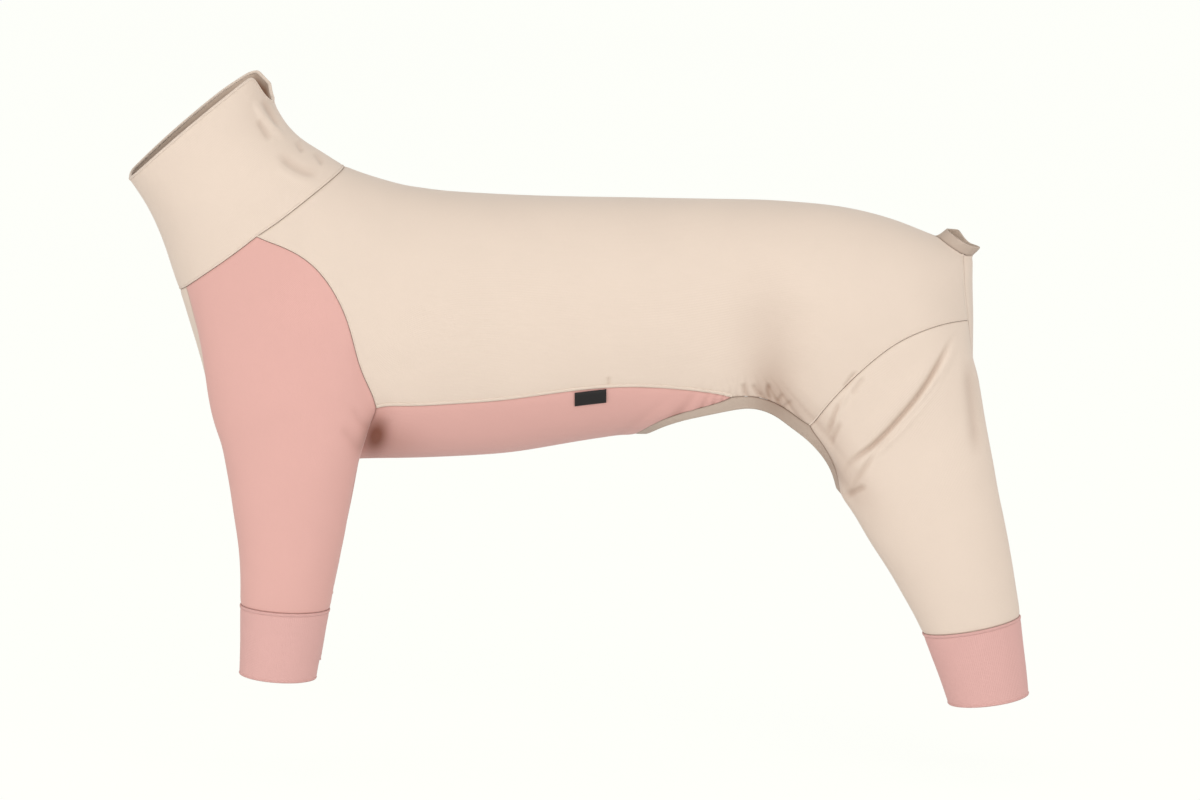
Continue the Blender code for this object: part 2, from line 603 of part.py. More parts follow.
def fold_depths(points, normals):
    """How far the folds press the cloth in at each point of the coat's outer sides."""
    depths = np.zeros(len(points))
    outward = np.clip(normals[:, 1] * np.sign(points[:, 1]) * 2.5, 0, 1)
    for fold in FOLDS:
        start, end = side_place(fold.along, fold.up), side_place(fold.to_along, fold.to_up)
        run = end - start
        length = np.linalg.norm(run)
        offset = points[:, [0, 2]] - start
        t = offset @ run / length ** 2
        across = (offset[:, 0] * run[1] - offset[:, 1] * run[0]) / length
        across = across - fold.bow * CHEST_DEPTH * 4 * t * (1 - t)
        fade = np.clip(4 * t, 0, 1) * np.clip(4 * (1 - t), 0, 1)
        depths += fold.depth * CHEST_DEPTH * fade * np.exp(-((across / (fold.width * CHEST_DEPTH)) ** 2))
    return depths * outward


def coat_skin():
    seams = Seams()
    skin = Skin()
    skin.add_grid(back_grid(seams), "back_panel", turned=True)
    skin.add_grid(chest_grid(seams), "chest_panel", turned=True)
    skin.add_grid(belly_grid(seams), "belly_panel", turned=True)
    skin.add_grid(gusset_grid(seams), "rump_gusset")
    skin.add_grid(collar_grid(seams), "collar")
    for leg, grids in (("front", front_leg_grids(seams)), ("hind", hind_leg_grids(seams))):
        upper, lower, cuff = grids
        turned = leg == "front"
        skin.add_grid(upper, f"{leg}_leg_#", turned=turned)
        skin.add_grid(lower, f"{leg}_leg_#", closed=True, turned=turned)
        skin.add_grid(cuff, f"{leg}_cuff_#", closed=True, turned=turned)
    skin.arrays()
    skin.smooth(3)
    normals = skin.normals()
    skin.points -= normals * fold_depths(skin.points, normals)[:, None]
    return skin


def behind_ribs(place):
    return place[0] > side_place(BEHIND_RIBS_SHARE, 0)[0]


def at_tail(place):
    return behind_ribs(place) and place[2] > side_place(0, TAIL_ABOVE_SHARE)[1]


def at_groin(place):
    return behind_ribs(place) and side_place(0, CUFF_BELOW_SHARE)[1] < place[2] < side_place(0, TAIL_ABOVE_SHARE)[1]


def add_bindings(skin):
    skin.extend(at_groin, BINDING_WIDTH, 0.0, "groin_binding")
    skin.extend(at_tail, TAIL_RIM_HEIGHT, math.radians(TAIL_RIM_LEAN_DEGREES), "tail_rim")


def material(name, colour, roughness):
    made = bpy.data.materials.new(name)
    made.use_nodes = True
    shader = made.node_tree.nodes["Principled BSDF"]
    shader.inputs["Base Color"].default_value = (*colour, 1)
    shader.inputs["Roughness"].default_value = roughness
    shader.inputs["Metallic"].default_value = 0
    return made


def cut_panel(skin, normals, name, thickness, finish):
    """One panel of the skin as a closed solid: drawn back from its seams and as thick as its cloth."""
    own = skin.edges(name)
    everyone = skin.edges()
    pulls = {}
    for edge, users in own.items():
        if len(users) != 1 or len(everyone[edge]) == 1:
            continue
        _, a, b = users[0]
        along = skin.points[b] - skin.points[a]
        for vertex in (a, b):
            inward = np.cross(normals[vertex], along)
            pulls.setdefault(vertex, []).append(inward / np.linalg.norm(inward))
    used = sorted({v for number, face in enumerate(skin.faces) if skin.names[number] == name for v in face})
    place = {v: i for i, v in enumerate(used)}
    outer = skin.points[used].copy()
    for vertex, ways in pulls.items():
        mean = np.sum(ways, axis=0)
        reach = max(np.dot(mean, way) for way in ways)
        least = max(min(np.dot(mean, way) for way in ways), 0.35 * reach)
        outer[place[vertex]] += mean * (SEAM_GAP / 2) / least
    inner = outer - normals[used] * thickness
    count = len(used)
    faces = []
    for number, face in enumerate(skin.faces):
        if skin.names[number] == name:
            ring = [place[v] for v in face]
            faces.append(ring)
            faces.append([count + v for v in reversed(ring)])
    # Two panels that share a seam cut its side faces along the same diagonal, so the gap between them stays even.
    for users in own.values():
        if len(users) == 1:
            _, a, b = users[0]
            p, q = place[a], place[b]
            if a < b:
                faces.extend([[q, p, count + q], [p, count + p, count + q]])
            else:
                faces.extend([[q, p, count + p], [q, count + p, count + q]])
    return solid(name, np.vstack([outer, inner]), faces, finish)


def solid(name, points, faces, finish):
    mesh = bpy.data.meshes.new(name)
    mesh.from_pydata(points.tolist(), [], faces)
    mesh.materials.append(finish)
    mesh.shade_smooth()
    mesh.set_sharp_from_angle(angle=math.radians(50))
    made = bpy.data.objects.new(name, mesh)
    bpy.context.scene.collection.objects.link(made)
    return made


def add_label(skin, finish):
    """The side label: a small plate that follows the belly just under its seam, on the left side."""
    tree = BVHTree.FromPolygons(skin.points.tolist(), [list(face) for face in skin.faces])
    half = LABEL_WIDTH / BACK_LENGTH / 2
    outer, inner = [], []
    columns, rows = 5, 3
    for j in range(rows):
        for i in range(columns):
            along = LABEL_PLACE_SHARE - half + 2 * half * i / (columns - 1)
            up = np.interp(along, *zip(*BELLY_SEAM))
            spot = spot_seen_at(along, up)
            top, low, half_width = torso_frame(spot.station)
            girth = np.linalg.norm(top[0] - low[0]) / 2 + half_width[0]
            step = (LABEL_DROP + LABEL_HEIGHT * j / (rows - 1)) / (girth * math.pi / 2)
            place = torso([Spot(spot.station, spot.around + step)])[0]
            found, normal, _, _ = tree.find_nearest(place.tolist())
            normal = np.array(normal)
            inner.append(np.array(found) + normal * LABEL_CLEARANCE)
            outer.append(inner[-1] + normal * LABEL_THICKNESS)
    count = columns * rows
    faces = []
    for j in range(rows - 1):
        for i in range(columns - 1):
            a = j * columns + i
            ring = [a, a + columns, a + columns + 1, a + 1]
            faces.append(ring)
            faces.append([count + k for k in reversed(ring)])
    border = [i for i in range(columns)] + [j * columns + columns - 1 for j in range(1, rows)]
    border += [count - 2 - i for i in range(columns - 1)] + [j * columns for j in range(rows - 2, 0, -1)]
    for p, q in zip(border, border[1:] + border[:1]):
        faces.append([p, q, count + q, count + p])
    return solid("side_label", np.vstack([outer, inner]), faces, finish)


def main():
    clear_scene()
    beige = ("beige_knit", (0.76, 0.65, 0.54), 0.8)
    pink = ("pink_knit", (0.78, 0.46, 0.42), 0.8)
    skin = coat_skin()
    add_bindings(skin)
    normals = skin.normals()
    for name in sorted(set(skin.names)):
        thickness = BINDING_THICKNESS if name == "groin_binding" else CLOTH
        is_pink = name.startswith(("belly", "front")) or "cuff" in name
        tone, colour, roughness = pink if is_pink else beige
        cut_panel(skin, normals, name, thickness, material(f"{name}_{tone}", colour, roughness))
    add_label(skin, material("label_black", (0.015, 0.015, 0.017), 0.6))


main()
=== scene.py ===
import functools
import math
from collections import namedtuple

import bpy
import numpy as np
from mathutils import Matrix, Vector
from mathutils.bvhtree import BVHTree
from mathutils.kdtree import KDTree


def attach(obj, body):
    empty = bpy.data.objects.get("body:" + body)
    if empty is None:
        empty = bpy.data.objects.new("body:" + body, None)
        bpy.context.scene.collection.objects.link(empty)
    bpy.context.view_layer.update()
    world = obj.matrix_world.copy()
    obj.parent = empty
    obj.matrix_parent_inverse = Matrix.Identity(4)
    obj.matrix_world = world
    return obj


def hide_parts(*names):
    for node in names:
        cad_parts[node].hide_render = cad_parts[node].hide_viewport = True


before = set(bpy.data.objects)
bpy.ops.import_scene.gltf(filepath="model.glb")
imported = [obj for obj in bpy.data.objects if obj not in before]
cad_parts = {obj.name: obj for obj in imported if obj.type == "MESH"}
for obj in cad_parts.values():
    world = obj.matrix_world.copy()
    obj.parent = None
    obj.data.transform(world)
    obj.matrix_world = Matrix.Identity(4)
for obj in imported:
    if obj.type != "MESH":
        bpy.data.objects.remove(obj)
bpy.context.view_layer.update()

bl_info = {
    "name": "Dog coat",
    "version": (1, 0, 0),
    "blender": (4, 5, 0),
    "location": "3D View > Sidebar > Dog coat",
    "description": "Sews a four-legged stretch coat for a dog, panel by panel, in its worn form",
    "category": "Add Mesh",
}

# The torso's sections are superellipses with this exponent: 2 is an ellipse.
FULLNESS = 2.2
# Where the coat sits on the back, as a share of the back's length from the neck seam.
SEAT_SHARE = 0.406

# How many faces each seam and each run of rows is divided into, before the cloth is made finer.
NECK_BACK_COUNT = 9
SHOULDER_COUNT = 8
NECK_SIDE_COUNT = 9
ACROSS_COUNT = 5
ARMHOLE_COUNT = 7
BELLY_SEAM_COUNT = 14
ARCH_COUNT = 5
YOKE_COUNT = 11
TAIL_SIDE_COUNT = 3
THIGH_COUNT = 6
CROTCH_COUNT = 8
GUSSET_COUNT = 2
LEG_ROW_COUNT = 8
CUFF_ROW_COUNT = 2
COLLAR_ROW_COUNT = 7
RELAXING_ROUNDS = 12

# One section of the torso. Alongs are shares of the back's length from the neck seam, ups are shares of the chest's
# depth from the back line, and the half width is a share of half the chest's width.
Section = namedtuple("Section", "station top_along top_up low_along low_up half_width")
TORSO = [
    Section(0.000, 0.000, 0.112, -0.264, -0.344, 0.74),
    Section(0.018, 0.027, 0.090, -0.247, -0.464, 0.82),
    Section(0.037, 0.053, 0.071, -0.226, -0.636, 0.90),
    Section(0.067, 0.078, 0.056, -0.197, -0.875, 0.96),
    Section(0.118, 0.100, 0.045, -0.096, -1.000, 0.99),
    Section(0.176, 0.126, 0.037, 0.011, -0.983, 1.00),
    Section(0.248, 0.164, 0.026, 0.135, -0.979, 0.99),
    Section(0.333, 0.247, 0.013, 0.247, -0.964, 0.98),
    Section(0.433, 0.360, 0.005, 0.360, -0.924, 0.97),
    Section(0.530, 0.470, 0.000, 0.470, -0.892, 0.95),
    Section(0.628, 0.582, -0.004, 0.582, -0.908, 0.92),
    Section(0.726, 0.693, -0.011, 0.693, -0.942, 0.92),
    Section(0.825, 0.805, -0.041, 0.805, -0.976, 0.94),
    Section(0.902, 0.892, -0.097, 0.892, -0.961, 0.88),
    Section(0.937, 0.932, -0.135, 0.935, -0.923, 0.79),
    Section(0.962, 0.961, -0.168, 0.964, -0.867, 0.65),
    Section(0.979, 0.980, -0.194, 0.983, -0.811, 0.49),
    Section(0.990, 0.993, -0.213, 0.994, -0.766, 0.34),
    Section(1.000, 1.001, -0.224, 1.001, -0.729, 0.00),
]

# Seams as seen from the side: shares of the back's length and of the chest's depth.
SHOULDER_SEAM = [(-0.096, -0.146), (-0.056, -0.184), (-0.027, -0.247), (-0.003, -0.351), (0.015, -0.475),
                 (0.022, -0.591), (0.031, -0.688), (0.053, -0.748)]
BELLY_SEAM = [(0.088, -0.762), (0.151, -0.748), (0.215, -0.740), (0.279, -0.722), (0.343, -0.703), (0.422, -0.680),
              (0.486, -0.684), (0.550, -0.699), (0.598, -0.716), (0.622, -0.727)]
BELLY_EDGE = [(0.593, -0.746), (0.556, -0.770), (0.515, -0.796), (0.485, -0.834)]
ARCH_EDGE = [(0.658, -0.725), (0.679, -0.742), (0.701, -0.772), (0.720, -0.811), (0.738, -0.852)]
YOKE_SEAM = [(0.749, -0.800), (0.776, -0.718), (0.800, -0.654), (0.824, -0.604), (0.861, -0.533), (0.904, -0.479),
             (0.950, -0.445), (0.9935, -0.443)]
GUSSET_SEAM = [(0.9905, -0.387), (0.9880, -0.336), (0.9850, -0.219)]
GUSSET_TAIL = [(0.9955, -0.531), (0.9975, -0.624), (0.9985, -0.703)]

# Spots on the torso: the station, and the share of the way round from the back to the belly.
Spot = namedtuple("Spot", "station around")
SHOULDER_CORNER = Spot(0.0, 0.52)
CHEST_CORNER = Spot(0.0, 0.86)
CHEST_SEAM = [Spot(0.020, 0.875), Spot(0.045, 0.885)]
CHEST_END = Spot(0.078, 0.90)
CHEST_CENTRE = Spot(0.082, 1.0)
ARMHOLE = [Spot(0.115, 0.85), Spot(0.155, 0.81), Spot(0.182, 0.765)]
BELLY_END = Spot(0.517, 1.0)

# One ring of the collar: how far up it is, and how far its back and front have moved from the neck seam, as shares
# of the collar's height.
Ring = namedtuple("Ring", "up back_along back_up front_along front_up")
COLLAR = [
    Ring(0.00, 0.000, 0.000, 0.000, 0.000),
    Ring(0.20, -0.192, 0.133, -0.058, 0.183),
    Ring(0.40, -0.350, 0.229, -0.110, 0.350),
    Ring(0.60, -0.463, 0.342, -0.183, 0.530),
    Ring(0.80, -0.542, 0.458, -0.267, 0.712),
    Ring(1.00, -0.700, 0.795, -0.405, 0.915),
    Ring(1.20, -0.830, 1.160, -0.560, 1.090),
]
NOTCH_SHARE_AROUND = 0.20

# One ring of a leg: how far down the leg it is and how far back, as shares of the leg's length, its depth and width as
# shares of the leg's, its tilt in degrees with the front end lower, and its place out from the middle as a share of
# half the spacing of the legs.
LegRing = namedtuple("LegRing", "down back depth tilt width out")
FRONT_LEG = [
    LegRing(0.00, 0.000, 1.000, 11, 0.92, 0.99),
    LegRing(0.31, -0.030, 0.816, 5, 1.02, 0.98),
    LegRing(0.53, -0.034, 0.733, 1, 1.03, 0.97),
    LegRing(0.75, -0.043, 0.639, -2, 1.00, 0.97),
    LegRing(1.00, -0.069, 0.585, -3, 0.95, 0.97),
]
HIND_LEG = [
    LegRing(0.00, 0.000, 1.000, 35, 0.98, 0.95),
    LegRing(0.21, 0.062, 0.869, 25, 1.04, 0.97),
    LegRing(0.40, 0.128, 0.795, 22, 1.06, 0.98),
    LegRing(0.57, 0.194, 0.718, 18, 1.04, 0.99),
    LegRing(0.78, 0.262, 0.650, 13, 1.00, 1.00),
    LegRing(1.00, 0.339, 0.576, 10, 0.96, 1.00),
]
HANG_SHARE = 0.7
FRONT_LEG_ROOT = (-0.074, -0.824)
HIND_LEG_ROOT = (0.902, -0.921)
FRONT_CUFF_BACK, FRONT_CUFF_TILT = -0.10, -4
HIND_CUFF_BACK, HIND_CUFF_TILT = 0.226, 7
CUFF_SAG_SHARE = 0.10
FRONT_SWEEP_DEGREES = 215
HIND_SWEEP_DEGREES = 205
BEHIND_RIBS_ALONG, TAIL_ABOVE_UP, CUFF_BELOW_UP = 0.3, -0.4, -1.3
TAIL_RIM_LEAN_DEGREES = 60
LABEL_PLACE_SHARE = 0.391
LABEL_DROP = 0.0012

# One fold in the cloth as seen from the side: points in millimetres from the origin, then its half width and its depth
# in millimetres. A depth below 0 is a ridge.
Fold = namedtuple("Fold", "name points width depth")
FOLDS = [
    Fold("neck_ridge", [(-275.5, 83.0), (-268.5, 69.4), (-261.4, 61.3), (-247.2, 47.5)], 2.6, -1.8),
    Fold("neck_dip_upper", [(-268.7, 83.1), (-262.4, 71.1), (-253.7, 56.9)], 2.4, 1.6),
    Fold("neck_dip_under", [(-271.5, 67.3), (-265.2, 56.2), (-260.4, 49.9)], 3.0, 1.4),
    Fold("neck_notch_a", [(-242.0, 49.7), (-238.7, 43.9), (-235.4, 38.8)], 2.0, 1.4),
    Fold("neck_notch_b", [(-227.8, 40.2), (-223.6, 34.4), (-219.5, 28.5)], 2.0, 1.3),
    Fold("neck_sweep", [(-255.7, 42.0), (-246.1, 31.8), (-234.2, 24.7), (-220.8, 22.1)], 4.0, 1.5),
    Fold("neck_sweep_ridge", [(-260.3, 34.5), (-249.1, 25.2), (-234.9, 18.7), (-220.7, 16.8)], 4.0, -1.0),
    Fold("flank_hollow", [(158.0, -66.3), (151.7, -97.7), (146.4, -130.0), (145.0, -153.1)], 16.0, 2.5),
    Fold("thigh_crease", [(283.4, -98.2), (270.2, -122.0), (254.8, -146.2), (237.4, -167.5), (216.9, -189.1),
                          (195.8, -207.0), (189.1, -217.5)], 2.2, 3.4),
    Fold("thigh_crease_lip", [(285.9, -103.9), (274.3, -126.3), (259.7, -150.6), (242.1, -172.2), (221.7, -193.1),
                              (198.2, -212.6)], 3.0, -2.0),
    Fold("thigh_second", [(280.8, -114.3), (261.3, -149.1), (244.5, -169.0), (216.9, -197.2), (192.9, -236.0)],
         2.2, 1.8),
    Fold("thigh_third", [(212.4, -221.8), (202.2, -227.0), (192.4, -234.3)], 2.4, 1.8),
    Fold("thigh_upper", [(269.4, -110.9), (249.2, -141.5), (225.5, -167.7), (198.1, -192.4)], 7.0, -1.5),
    Fold("thigh_drop", [(291.7, -120.2), (296.1, -161.3), (299.8, -203.2)], 5.0, 1.6),
    Fold("gather_a", [(113.2, -139.8), (114.0, -146.4), (114.8, -153.1)], 1.8, 1.5),
    Fold("gather_b", [(120.3, -140.6), (124.3, -147.3), (129.1, -153.8)], 1.8, 1.5),
    Fold("gather_c", [(133.8, -139.9), (133.0, -148.1), (135.5, -156.3)], 1.8, 1.8),
    Fold("gather_d", [(145.0, -149.0), (142.6, -153.1), (140.3, -157.1)], 1.6, 1.2),
    Fold("gather_e", [(152.9, -154.5), (149.0, -158.0), (144.3, -161.3)], 1.6, 1.0),
    Fold("pucker_a", [(191.6, -153.3), (185.4, -167.3), (179.4, -185.9)], 2.2, 1.8),
    Fold("pucker_b", [(197.9, -144.2), (191.7, -157.4), (184.7, -173.9)], 2.0, -1.2),
    Fold("pucker_c", [(204.1, -129.7), (197.8, -137.7), (191.6, -146.7)], 1.8, 1.3),
    Fold("pucker_d", [(210.4, -133.7), (204.2, -141.8), (197.9, -151.6)], 1.8, 1.0),
    Fold("pucker_e", [(191.8, -170.3), (185.6, -182.1), (181.9, -193.3)], 2.0, 1.4),
    Fold("armpit_a", [(-186.5, -199.4), (-196.6, -184.9), (-205.9, -172.2)], 4.0, 0.8),
    Fold("armpit_b", [(-181.2, -179.2), (-190.2, -168.9), (-197.9, -156.4)], 3.0, 0.6),
    Fold("belly_notch", [(7.0, -134.6), (7.0, -138.7), (7.0, -143.7)], 1.5, 1.2),
]

# A place on the coat that is pulled out of shape, as the side view shows it in millimetres: on the left (-1), the right
# (1) or both sides (0), how far round it the cloth follows, and its move along the coat, outwards and up.
Pull = namedtuple("Pull", "name x z side reach along out up")
PULLS = [
    Pull("collar_tip_near", -284, 96, -1, 24, 7.5, 0, 6.0),
    Pull("collar_tip_far", -280, 92, 1, 26, 8.0, 2.0, 4.0),
    Pull("collar_back_far", -268, 84, 1, 18, 4.0, 2.0, 3.0),
    Pull("armpit_tab", -172, -170, 0, 7, 3.0, 2.5, 1.0),
    Pull("tail_far", 284, -32, 1, 14, 2.0, 1.0, 5.0),
]

# A soft dab of painted shade on both sides, where the cloth lies in shade at the armpits, flanks, groin, thigh fronts
# and nape: its middle, its half width and half height in millimetres, its turn in degrees and its strength.
ShadeDab = namedtuple("ShadeDab", "name x z wide high turn strength")
SHADE_DABS = [
    ShadeDab("flank_low", 138, -152, 17, 26, 12, 0.34),
    ShadeDab("flank_broad", 136, -116, 26, 46, 8, 0.16),
    ShadeDab("groin_band", 168, -170, 34, 9, -38, 0.16),
    ShadeDab("thigh_front", 196, -216, 12, 34, 38, 0.22),
    ShadeDab("armpit", -178, -184, 9, 17, -14, 1.0),
    ShadeDab("armpit_soft", -166, -190, 22, 14, 0, 0.22),
    ShadeDab("collar_nape", -258, 84, 12, 26, -40, 0.10),
]

# Each panel's cloth, its flat size in metres and how it is held.
Panel = namedtuple("Panel", "name cloth slot flat held")
PANELS = [
    Panel("collar", "beige", "beige_knit", (0.40, 0.10), "stretched"),
    Panel("back_panel", "beige", "beige_knit", (0.58, 0.40), "stretched"),
    Panel("chest_panel", "beige", "beige_knit", (0.07, 0.14), "stretched"),
    Panel("belly_panel", "pink", "pink_knit", (0.37, 0.20), "stretched"),
    Panel("front_leg_left", "pink", "pink_knit", (0.25, 0.30), "stretched"),
    Panel("front_leg_right", "pink", "pink_knit", (0.25, 0.30), "stretched"),
    Panel("front_cuff_left", "rib", "pink_rib", (0.195, 0.058), "stretched"),
    Panel("front_cuff_right", "rib", "pink_rib", (0.195, 0.058), "stretched"),
    Panel("hind_leg_left", "beige", "beige_knit", (0.28, 0.23), "stretched"),
    Panel("hind_leg_right", "beige", "beige_knit", (0.28, 0.23), "stretched"),
    Panel("hind_cuff_left", "rib", "pink_rib", (0.206, 0.065), "stretched"),
    Panel("hind_cuff_right", "rib", "pink_rib", (0.206, 0.065), "stretched"),
    Panel("rump_gusset", "beige", "beige_knit", (0.05, 0.12), "stretched"),
    Panel("groin_binding", "binding", "beige_binding", (0.84, 0.010), "stretched"),
    Panel("tail_rim", "binding", "beige_binding", (0.09, 0.010), "stretched"),
]
PANEL = {panel.name: panel for panel in PANELS}


def spline(knots, values, at):
    """A smooth curve through the values at the knots, read at the places in at."""
    knots, values, at = np.asarray(knots, float), np.asarray(values, float), np.asarray(at, float)
    slopes = np.gradient(values, knots, axis=0)
    left = np.clip(np.searchsorted(knots, at, side="right") - 1, 0, len(knots) - 2)
    span = knots[left + 1] - knots[left]
    share = (at - knots[left]) / span
    shape = (-1,) + (1,) * (values.ndim - 1)
    t, h = share.reshape(shape), span.reshape(shape)
    return ((1 + 2 * t) * (1 - t) ** 2 * values[left] + t * (1 - t) ** 2 * h * slopes[left]
            + t * t * (3 - 2 * t) * values[left + 1] + t * t * (t - 1) * h * slopes[left + 1])


def lengths_along(points):
    steps = np.linalg.norm(np.diff(points, axis=0), axis=1)
    return np.concatenate([[0], np.cumsum(steps)])


def unit(vectors):
    return vectors / np.maximum(np.linalg.norm(vectors, axis=-1, keepdims=True), 1e-12)


def joined(*runs):
    """Runs of points end to end, each shared point once."""
    return np.concatenate([runs[0]] + [run[1:] for run in runs[1:]])


def filled(start, end, first, last):
    """A grid between four edges: start and end run across it, first and last run along it."""
    across = np.linspace(0, 1, len(start))[None, :, None]
    along = np.linspace(0, 1, len(first))[:, None, None]
    corners = ((1 - along) * ((1 - across) * start[0] + across * start[-1])
               + along * ((1 - across) * end[0] + across * end[-1]))
    return ((1 - along) * start[None] + along * end[None]
            + (1 - across) * first[:, None] + across * last[:, None] - corners)


def rounded(top, low, half_width, around):
    """Points of a rounded section, on the dog's left side. Around is 0 at the top and 1 at the bottom."""
    angle = np.pi * np.asarray(around, float)
    power = 2 / FULLNESS
    height = np.sign(np.cos(angle)) * np.abs(np.cos(angle)) ** power
    reach = np.abs(np.sin(angle)) ** power
    place = (top + low) / 2 + (top - low) / 2 * height[:, None]
    return np.stack([place[:, 0], -half_width * reach, place[:, 1]], axis=1)


def hung(upper, arc, below, first, last):
    """The cloth between a seam on the torso and the outer arc of a leg, whose sides are the seams first and last."""
    rows = len(first) - 1
    reach = np.linalg.norm(arc - upper, axis=1, keepdims=True)
    away = unit(arc - below) * reach * HANG_SHARE
    grid = []
    for row in range(rows + 1):
        t = row / rows
        grid.append((1 + 2 * t) * (1 - t) ** 2 * upper + t * (1 - t) ** 2 * (arc - upper)
                    + t * t * (3 - 2 * t) * arc - t * t * (t - 1) * away)
    grid = np.array(grid)
    share = np.linspace(0, 1, len(arc))[None, :, None]
    return grid + (1 - share) ** 3 * (first - grid[:, 0])[:, None] + share ** 3 * (last - grid[:, -1])[:, None]


class Leg:
    """A leg's rings between its root and its cuff seam, and the cuff's below them."""

    def __init__(self, root, rings, sizes, starts_at_rear, sweep, side_count, inner_count, cuff):
        self.root, self.rings, self.sizes, self.starts_at_rear, self.cuff = root, rings, sizes, starts_at_rear, cuff
        outer = np.linspace(0, math.radians(sweep), side_count + 1)
        inner = np.linspace(math.radians(sweep), 2 * math.pi, inner_count + 1)
        self.angles = np.concatenate([outer, inner[1:-1]])
        self.side_count = side_count

    def placed(self, root, row, length, depth, width, spacing):
        centre = np.array([root[0] + row.back * length, -row.out * spacing / 2, root[1] - row.down * length])
        tilt = math.radians(row.tilt)
        to_rear = np.array([math.cos(tilt), 0, math.sin(tilt)])
        to_start = to_rear if self.starts_at_rear else -to_rear
        reach = row.depth * depth / 2 * np.cos(self.angles)[:, None] * to_start
        return centre + reach + row.width * width / 2 * np.sin(self.angles)[:, None] * np.array([0, -1, 0])

    def ring(self, down):
        fields = np.array([list(row) for row in self.rings])
        return self.placed(self.root, LegRing(*spline(fields[:, 0], fields, [down])[0]), *self.sizes)

    def sagging(self, points, share):
        points = points.copy()
        points[:, 2] += CUFF_SAG_SHARE * share * (points[:, 1] - points[:, 1].mean())
        return points

    def cuff_ring(self, share):
        length, back, tilt, depth, width = self.cuff
        leg_length, _, _, spacing = self.sizes
        last = self.rings[-1]
        start = self.placed(self.root, last, *self.sizes)
        root = (self.root[0] + last.back * leg_length + back * length, self.root[1] - last.down * leg_length - length)
        end = self.placed(root, LegRing(0, 0, 1, tilt, 1, last.out), 0, depth, width, spacing)
        return self.sagging(start * (1 - share) + end * share, 1)

    def grids(self, top_ring):
        miss = top_ring - self.ring(0)
        rows = [top_ring]
        for row in range(1, LEG_ROW_COUNT + 1):
            down = row / LEG_ROW_COUNT
            held = max(0.0, 1 - down / 0.75) ** 2
            rows.append(self.sagging(self.ring(down), down ** 3) + miss * held)
        return np.array(rows), np.array([self.cuff_ring(row / CUFF_ROW_COUNT) for row in range(CUFF_ROW_COUNT + 1)])

    def outer_arc(self, start, end):
        arc = self.ring(0)[: self.side_count + 1]
        share = np.linspace(0, 1, len(arc))[:, None]
        return arc + (1 - share) ** 2 * (start - arc[0]) + share ** 2 * (end - arc[-1])


